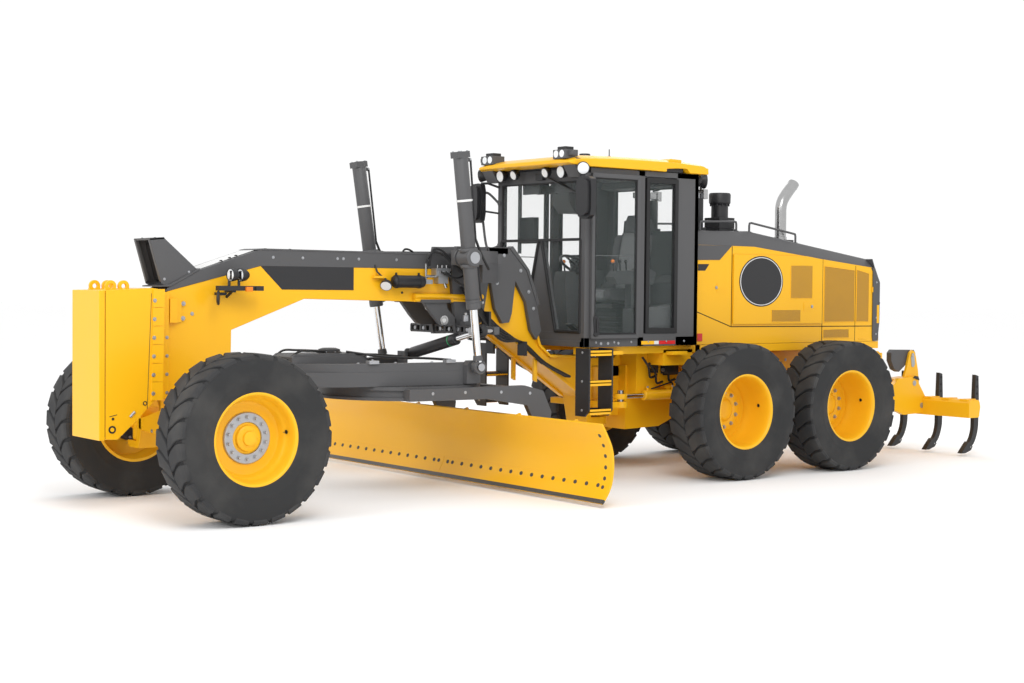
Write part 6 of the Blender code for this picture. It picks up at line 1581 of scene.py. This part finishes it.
k = Kit()   # roof lamps, aerial, beacon base
for s in (1, -1):
    k.box((-3.57, -3.72), (s * 0.47, s * 0.66), (3.07, 3.155), GREY)
    k.box((-3.6, -3.7), (s * 0.5, s * 0.62), (3.155, 3.185), PLASTIC)
    k.box((-3.6, -3.66), (s * 0.64, s * 0.71), (3.1, 3.14), GREY)
    for y in (0.515, 0.6):
        k.lathe([(0, 0.0), (0.034, 0.0), (0.036, -0.004), (0.036, -0.02), (0, -0.02)], (-3.568, s * y, 3.115),
                (1, 0, 0), LENS, 24)
    k.prism([(-3.62, 3.02), (-3.66, 3.08), (-3.78, 3.06), (-3.78, 2.9), (-3.7, 2.9)], s * 0.55, s * 0.72, "y",
            GREY)
    for y, z, face in ((0.47, 2.955, (1, 0, -0.15)), (0.795, 2.975, (0.5, s * 0.85, -0.1))):
        at, way = Vector((-3.67, s * y, z)), Vector(face).normalized()
        k.lathe([(0, -0.075), (0.035, -0.075), (0.056, -0.045), (0.062, -0.005), (0.062, 0.008),
                 (0.055, 0.01)], at, way, PLASTIC, 28)
        k.lathe([(0, 0.013), (0.045, 0.011), (0.055, 0.006), (0.055, 0.0), (0, 0.0)], at, way, LENS, 28)
    at, way = Vector((-3.66, s * 0.245, 2.955)), Vector((1, 0, -0.35)).normalized()
    k.lathe([(0, -0.06), (0.03, -0.06), (0.048, -0.035), (0.054, -0.002), (0.054, 0.008), (0.046, 0.01)], at,
            way, PLASTIC, 28)
    k.lathe([(0, 0.012), (0.04, 0.01), (0.046, 0.0), (0, 0.0)], at, way, WHITE, 28)
    k.box((-3.72, -3.66), (s * 0.235, s * 0.255), (2.98, 3.02), DARK)
    k.rod((-3.7, s * 0.7, 2.98), (-3.68, s * 0.76, 2.975), 0.012, DARK, 12)
    k.lathe([(0, -0.06), (0.03, -0.06), (0.048, -0.035), (0.054, -0.002), (0.054, 0.008), (0.0, 0.01)],
            (-5.34, s * 0.6, 2.95), (-1, 0, -0.3), PLASTIC, 28)
    k.lathe([(0, 0.012), (0.046, 0.01), (0.046, 0.0), (0, 0.0)], (-5.34, s * 0.6, 2.95), (-1, 0, -0.3), LENS,
            28)
    k.box((-5.36, -5.3), (s * 0.58, s * 0.62), (2.97, 3.01), DARK)
k.rod((-4.29, 0.45, 3.12), (-4.29, 0.45, 3.205), 0.005, PLASTIC, 10)
k.lathe([(0, 0), (0.03, 0), (0.02, 0.02), (0, 0.025)], (-4.29, 0.45, 3.118), (0, 0, 1), PLASTIC, 20)
k.lathe([(0, 0), (0.06, 0), (0.05, 0.03), (0, 0.034)], (-3.98, 0.45, 3.114), (0, 0, 1), PLASTIC, 28)
k.tube(spline([(-3.795, 0.02, 2.93), (-3.775, 0.1, 2.935), (-3.772, 0.36, 2.84), (-3.776, 0.6, 2.75)], 5),
       0.01, PLASTIC, 8)
k.tube([(-3.79, 0.3, 2.875), (-3.785, 0.62, 2.735)], 0.008, SEAL, 8)
k.box((-3.8, -3.76), (-0.03, 0.08), (2.9, 2.965), PLASTIC)
k.make("roof_lamps", BODY, 0.003)

k = Kit()   # mirrors and grab rails on the front posts
for s in (1, -1):
    ring = [(s * 0.76, 2.53), (s * 0.745, 2.6), (s * 0.745, 2.83), (s * 0.76, 2.885), (s * 0.8, 2.9),
            (s * 0.9, 2.895), (s * 0.94, 2.87), (s * 0.95, 2.8), (s * 0.95, 2.6), (s * 0.935, 2.535),
            (s * 0.89, 2.505), (s * 0.8, 2.505)]
    k.prism(ring, -3.7, -3.64, "x", PLASTIC)
    k.prism([(s * 0.85 + (y - s * 0.85) * 0.8, 2.7 + (z - 2.7) * 0.86) for y, z in ring], -3.64, -3.605, "x",
            PLASTIC)
    k.prism([(s * 0.85 + (y - s * 0.85) * 0.9, 2.7 + (z - 2.7) * 0.93) for y, z in ring], -3.703, -3.7, "x",
            CHROME)
    k.tube([(-3.8, s * 0.66, 2.86), (-3.72, s * 0.74, 2.9), (-3.68, s * 0.8, 2.9)], 0.012, PLASTIC, 10)
    k.tube([(-3.8, s * 0.66, 2.6), (-3.7, s * 0.76, 2.62)], 0.01, PLASTIC, 10)
s = -1
k.tube(spline([(-3.8, -0.64, 2.28), (-3.77, -0.72, 2.25), (-3.755, -0.8, 2.27), (-3.755, -0.86, 2.5),
               (-3.755, -0.9, 2.72), (-3.755, -0.855, 2.8), (-3.765, -0.78, 2.8), (-3.8, -0.66, 2.7)], 6),
       0.0125, GREY, 12)
for z in (2.28, 2.7):
    k.lathe(disc(0.026, 0.01), (-3.802, -0.65, z), (1, 0, 0), GREY, 16)
k.make("cab_mirrors", BODY, 0.004)

k = Kit()   # tanks, bracket and lamp behind the cab
for s in (1, -1):
    for x in (-5.46, -5.6):
        k.lathe([(0, 0), (0.05, 0), (0.054, 0.006), (0.054, 0.3), (0.045, 0.315), (0, 0.32)],
                (x, s * 0.34, 2.47), (0, 0, 1), PLASTIC, 28)
    k.box((-5.65, -5.41), (s * 0.27, s * 0.41), (2.452, 2.49), DARK)
    k.box((-5.66, -5.4), (s * 0.33, s * 0.35), (2.6, 2.63), ZINC)
    k.box((-5.68, -5.3), (s * 0.3, s * 0.325), (2.8, 2.86), STEEL)
    k.box((-5.68, -5.62), (s * 0.29, s * 0.4), (2.78, 2.88), STEEL)
    k.rod((-5.46, s * 0.34, 2.78), (-5.46, s * 0.34, 2.84), 0.02, ZINC, 14)
    k.rod((-5.6, s * 0.34, 2.78), (-5.6, s * 0.34, 2.84), 0.02, ZINC, 14)
    k.lathe([(0, -0.07), (0.05, -0.07), (0.075, -0.03), (0.085, 0.0), (0.08, 0.012), (0, 0.014)],
            (-5.66, s * 0.36, 2.97), (-0.9, s * 0.4, 0), PLASTIC, 28)
    k.rod((-5.62, s * 0.35, 2.88), (-5.64, s * 0.355, 2.93), 0.014, PLASTIC, 12)
k.make("cab_rear_equipment", BODY, 0.003)

# ---- cab doors ----------------------------------------------------------------------------------
for s, word in SIDES:
    BODY = f"cab_door_{word}"
    k = Kit()
    outer = [(-3.863, 1.382), (-3.863, 2.948), (-4.468, 2.948), (-4.468, 1.382)]
    inner = [(-3.897, 1.418), (-3.897, 2.905), (-4.432, 2.905), (-4.432, 1.418)]
    bead = [(-3.913, 1.434), (-3.913, 2.892), (-4.418, 2.892), (-4.418, 1.434)]
    surround(k, outer, inner, s * 0.681, s * 0.7148, GREY)
    surround(k, inner, bead, s * 0.683, s * 0.712, SEAL)
    for z in (1.62, 2.15, 2.72):
        k.rod((-4.462, s * 0.7075, z - 0.05), (-4.462, s * 0.7075, z + 0.05), 0.0074, GREY, 14)
    k.make(f"cab_door_look_{word}", BODY, 0.003, replaces=f"cab_door_{word}")
    k = Kit()
    k.box((-4.416, -3.915), (s * 0.694, s * 0.702), (1.436, 2.89), GLASS)
    k.make(f"door_glass_look_{word}", BODY, 0, replaces=f"door_glass_{word}")
    k = Kit()
    ring = [(-3.895, 1.45), (-3.885, 1.42), (-3.9, 1.405), (-3.935, 1.405), (-3.95, 1.43), (-3.945, 1.57),
            (-3.925, 1.6), (-3.895, 1.6), (-3.883, 1.58)]
    k.prism(ring, s * 0.7025, s * 0.7255, "y", PLASTIC)
    k.box((-3.925, -3.912), (s * 0.7255, s * 0.735), (1.44, 1.57), PLASTIC)
    k.rod((-3.93, s * 0.6885, 2.17), (-4.4, s * 0.6885, 2.17), 0.0045, GREY, 10)
    k.box((-3.945, -3.9), (s * 0.684, s * 0.6935), (1.42, 1.58), PLASTIC)
    k.make(f"cab_door_handle_{word}", BODY, 0.003)
BODY = "rear_frame"

# ---- ladders ------------------------------------------------------------------------------------
for s, word in SIDES:
    k = Kit()
    for x in (-3.7, -3.98):
        k.prism([(s * 0.702, 0.662), (s * 0.702, 1.298), (s * 0.898, 1.298), (s * 0.898, 0.72),
                 (s * 0.84, 0.662)], x, x + 0.018, "x", PLASTIC)
    for z in (0.7, 0.97, 1.25):
        k.box((-3.962, -3.702), (s * 0.702, s * 0.896), (z, z + 0.012), YELLOW)
        k.box((-3.962, -3.702), (s * 0.872, s * 0.896), (z - 0.02, z + 0.03), YELLOW)
        for i in range(9):
            k.box((-3.955 + 0.028 * i, -3.948 + 0.028 * i), (s * 0.71, s * 0.87), (z + 0.012, z + 0.022),
                  DARK)
    k.box((-3.98, -3.882), (s * 0.6005, s * 0.71), (1.226, 1.284), DARK)
    k.box((-3.962, -3.702), (s * 0.7, s * 0.712), (0.7, 0.73), DARK)
    for z in (0.72, 0.99, 1.26):
        k.bolt((-3.682, s * 0.8, z), (1, 0, 0), 0.009)
    k.make(f"ladder_look_{word}", BODY, 0.002, replaces=f"ladder_{word}")

# ---- ripper -------------------------------------------------------------------------------------
BODY = "rear_frame"
k = Kit()
k.prism([(-0.42, 0.502), (-0.42, 1.158), (0.42, 1.158), (0.42, 0.502)], -8.438, -8.402, "x", YELLOW)
for s in (1, -1):
    y = (s * 0.302, s * 0.358)
    k.prism([(-8.42, 0.502), (-8.42, 0.742), (-8.52, 0.7), (-8.572, 0.655), (-8.578, 0.6), (-8.545, 0.555),
             (-8.5, 0.54)], *y, "y", YELLOW)
    k.rod((-8.52, s * 0.3, 0.62), (-8.52, s * 0.452, 0.62), 0.0276, STEEL, 28)
    k.prism([(-8.42, 1.022), (-8.42, 1.138), (-8.52, 1.12), (-8.556, 1.09), (-8.556, 1.06), (-8.5, 1.032)],
            s * 0.056, s * 0.084, "y", YELLOW)
    k.prism([(-8.44, 1.11), (-8.44, 1.156), (-8.5, 1.154), (-8.52, 1.125)], s * 0.2, s * 0.26, "y", DARK)
    k.bolt((-8.4385, s * 0.37, 1.11), (-1, 0, 0), 0.014)
    k.bolt((-8.4385, s * 0.37, 0.55), (-1, 0, 0), 0.014)
    k.bolt((-8.4385, s * 0.2, 0.55), (-1, 0, 0), 0.014)
k.rod((-8.51, -0.068, 1.075), (-8.51, 0.068, 1.075), 0.0192, STEEL, 28)
k.make("ripper_mount_look", BODY, 0.004, replaces="ripper_mount")

BODY = "ripper"
k = Kit()
k.prism([(-9.135, 0.435), (-9.135, 0.6), (-9.165, 0.635), (-9.3, 0.635), (-9.325, 0.61), (-9.325, 0.45),
         (-9.3, 0.435)], -1.095, 1.095, "y", YELLOW)
for s in (1, -1):
    side = [(-8.5, 0.552), (-8.462, 0.597), (-8.462, 0.643), (-8.5, 0.688), (-8.7, 0.858), (-9.00, 0.878),
            (-9.2, 0.62), (-9.2, 0.452), (-8.8, 0.442)]
    k.prism(side, s * 0.392, s * 0.448, "y", YELLOW)
    k.lathe([(0.0286, 0), (0.058, 0), (0.06, 0.003), (0.058, 0.006), (0.0286, 0.006)],
            (-8.52, s * 0.386, 0.62), (0, s, 0), YELLOW, 32, ring=True)
    k.prism([(-8.72, 0.802), (-8.72, 0.848), (-9.00, 0.868), (-9.178, 0.66), (-9.178, 0.602), (-9.00, 0.832)],
            s * 0.202, s * 0.42, "y", YELLOW)
    k.prism([(-9.158, 0.6), (-9.158, 0.738), (-9.06, 0.758), (-8.985, 0.7), (-9.1, 0.582)], s * 0.072,
            s * 0.098, "y", YELLOW)
    k.prism([(-8.86, 0.47), (-8.86, 0.5), (-9.15, 0.6), (-9.15, 0.47)], s * 0.2, s * 0.4, "y", YELLOW)
    k.prism([(-8.95, 0.86), (-8.98, 0.885), (-9.04, 0.875), (-9.06, 0.83)], s * 0.448, s * 0.46, "y", DARK)
    for x, z in ((-8.98, 0.8), (-9.12, 0.54)):
        k.lathe([(0, 0), (0.03, 0), (0.032, 0.004), (0.0, 0.008)], (x, s * 0.448, z), (0, s, 0), ZINC, 24)
for y in (-0.75, -0.25, 0.25, 0.75, -1.0, -0.5, 0.0, 0.5, 1.0):
    k.box((-9.315, -9.15), (y - 0.05, y + 0.05), (0.62, 0.645), YELLOW)
for y in (-1.0, -0.5, 0.0, 0.5, 1.0):
    for d in (-0.034, 0.034):
        k.prism([(-9.3, 0.45), (-9.3, 0.635), (-9.4, 0.6), (-9.4135, 0.55), (-9.4, 0.47)], y + d - 0.007,
                y + d + 0.007, "y", YELLOW)
    k.rod((-9.375, y - 0.046, 0.54), (-9.375, y + 0.046, 0.54), 0.012, STEEL, 16)
k.rod((-9.04, -0.088, 0.7), (-9.04, 0.088, 0.7), 0.0195, STEEL, 28)
for s in (1, -1):   # upper arms and their pin plates
    k.prism([(-8.66, 1.06), (-8.66, 1.15), (-8.7, 1.186), (-9.06, 1.178), (-9.088, 1.14), (-9.088, 1.075),
             (-8.95, 1.03), (-8.8, 0.93), (-8.72, 0.96)], s * 0.3, s * 0.37, "y", GREY)
    k.prism([(-8.84, 0.84), (-8.9, 1.00), (-8.945, 1.15), (-8.985, 1.178), (-9.03, 1.16), (-9.055, 1.1),
             (-9.1, 0.93), (-9.13, 0.72), (-9.1, 0.62)], s * 0.376, s * 0.405, "y", YELLOW)
    k.prism([(-8.975, 0.99), (-8.96, 1.1), (-8.985, 1.13), (-9.015, 1.12), (-9.035, 1.02), (-9.01, 0.98)],
            s * 0.405, s * 0.412, "y", ZINC)
    k.rod((-8.99, s * 0.29, 1.12), (-8.99, s * 0.415, 1.12), 0.024, STEEL, 24)
k.make("ripper_beam_look", BODY, 0.004, replaces="ripper_beam")
k = Kit()
for y in (-1.0, -0.5, 0.0, 0.5, 1.0):
    front = [p for p in spline([(-9.338, 0, 0.915), (-9.326, 0, 0.6), (-9.322, 0, 0.4), (-9.318, 0, 0.3),
                                (-9.285, 0, 0.2), (-9.22, 0, 0.122)], 4)]
    back = [p for p in spline([(-9.392, 0, 0.9), (-9.408, 0, 0.6), (-9.405, 0, 0.42), (-9.395, 0, 0.285),
                               (-9.345, 0, 0.16), (-9.262, 0, 0.075)], 4)]
    k.prism([(p.x, p.z) for p in front] + [(p.x, p.z) for p in reversed(back)], y - 0.024, y + 0.024, "y",
            DARK)
    k.prism([(-9.2, 0.135), (-9.23, 0.16), (-9.3, 0.1), (-9.27, 0.062), (-9.17, 0.032), (-9.1, 0.032),
             (-9.14, 0.075)], y - 0.03, y + 0.03, "y", PLASTIC)
    k.rod((-9.262, y - 0.034, 0.098), (-9.262, y + 0.034, 0.098), 0.009, STEEL, 12)
    # near-black discs for the pin holes in each shank: painted shade in the holes
    for z in (0.7, 0.78, 0.86):
        k.lathe(disc(0.013, 0.001), (-9.368, y + 0.024, z), (0, 1, 0), SHADE_AND_SEAM, 16)
k.make("ripper_shanks", BODY, 0.003)

top = Vector((-8.51, 0, 1.075))
low_eye = Vector((-9.04, 0, 0.7))
way = (low_eye - top).normalized()
k = Kit()
k.lathe([(0.0245, 0.04), (0.036, 0.04), (0.0445, 0.052), (0.0445, 0.38), (0.041, 0.385), (0.0445, 0.39),
         (0.0445, 0.412), (0.038, 0.42), (0.0245, 0.42)], top, way, DARK, 36, ring=True)
k.lathe([(0.0, 0.04), (0.026, 0.04), (0.026, 0.07), (0.0, 0.07)], top, way, DARK, 28)
k.lathe(eye_ring(0.02, 0.04, 0.0445, 0.027, 0.02), top, (0, 1, 0), DARK, 36, ring=True)
k.hose([top + way * 0.1 + Vector((0, 0, 0.06)), top + way * 0.2 + Vector((0, 0.01, 0.075)),
        top + way * 0.34 + Vector((0, 0, 0.06))], 0.008, 5)
k.make("ripper_ram_look", "ripper_barrel", 0.001, replaces="ripper_cylinder")
k = Kit()
length = (low_eye - top).length
k.lathe([(0, 0.26), (0.02, 0.26), (0.0226, 0.264), (0.0226, length - 0.04), (0, length - 0.04)], top, way,
        CHROME, 32)
k.lathe(eye_ring(0.0345, 0.045, 0.0495, 0.027, 0.02), low_eye, (0, 1, 0), DARK, 36, ring=True)
k.make("ripper_rod_look", "ripper_rod", 0.001, replaces="ripper_rod")
settle_cuts()

# ---- floor, light and camera --------------------------------------------------------------------
def stage_scene():
    """Floor, three soft lamps and the photo's camera."""
    bpy.ops.mesh.primitive_plane_add(size=240, location=(0, 0, 0))
    floor = bpy.context.object
    floor.name = "studio_floor"
    floor.data.materials.append(material("floor_paper", (0.97, 0.97, 0.97), 0.95, vary=0.01, grain=0.4,
            rough_vary=0.02))
    world = bpy.data.worlds.new("studio")
    scene.world = world
    world.use_nodes = True
    world.node_tree.nodes["Background"].inputs["Color"].default_value = (1.0, 1.0, 1.0, 1)
    world.node_tree.nodes["Background"].inputs["Strength"].default_value = 1.03
    for name, at, size, power, aim in (("key", (6.0, 9.0, 9.5), 6.0, 520, (0, 0, 1)),
            ("front", (12.0, 3.0, 5.0), 5.0, 200, (2, 0, 1)), ("rear", (-9.0, -6.0, 8.0), 6.0, 180,
            (-2, 0, 1)),):
        data = bpy.data.lights.new(name, "AREA")
        data.shape = "DISK"
        data.size = size
        data.energy = power
        lamp = bpy.data.objects.new(name, data)
        scene.collection.objects.link(lamp)
        lamp.location = at
        lamp.rotation_mode = "QUATERNION"
        lamp.rotation_quaternion = (Vector(aim) - Vector(at)).to_track_quat("-Z", "Y")
    scene.view_settings.view_transform = "Standard"
    scene.view_settings.look = "None"
    scene.view_settings.exposure = 0.0
    cam_data = bpy.data.cameras.new("photo_view")
    cam = bpy.data.objects.new("photo_view", cam_data)
    scene.collection.objects.link(cam)
    scene.camera = cam
    yaw, pitch, roll = math.radians(37.812), math.radians(2.004), math.radians(0.5545)
    forward = Vector((-math.sin(yaw) * math.cos(pitch), -math.cos(yaw) * math.cos(pitch), -math.sin(pitch)))
    right = forward.cross(Vector((0, 0, 1))).normalized()
    up = right.cross(forward)
    right2 = right * math.cos(roll) + up * math.sin(roll)
    up2 = up * math.cos(roll) - right * math.sin(roll)
    turn = Matrix((right2, up2, -forward)).transposed().to_4x4()
    cam.matrix_world = Matrix.Translation((6.1726 + FX, 12.4263 + FY, 1.8898)) @ turn
    cam_data.sensor_width = 36.0
    cam_data.lens = 57.46
    cam_data.clip_start = 0.5
    cam_data.clip_end = 500


stage_scene()
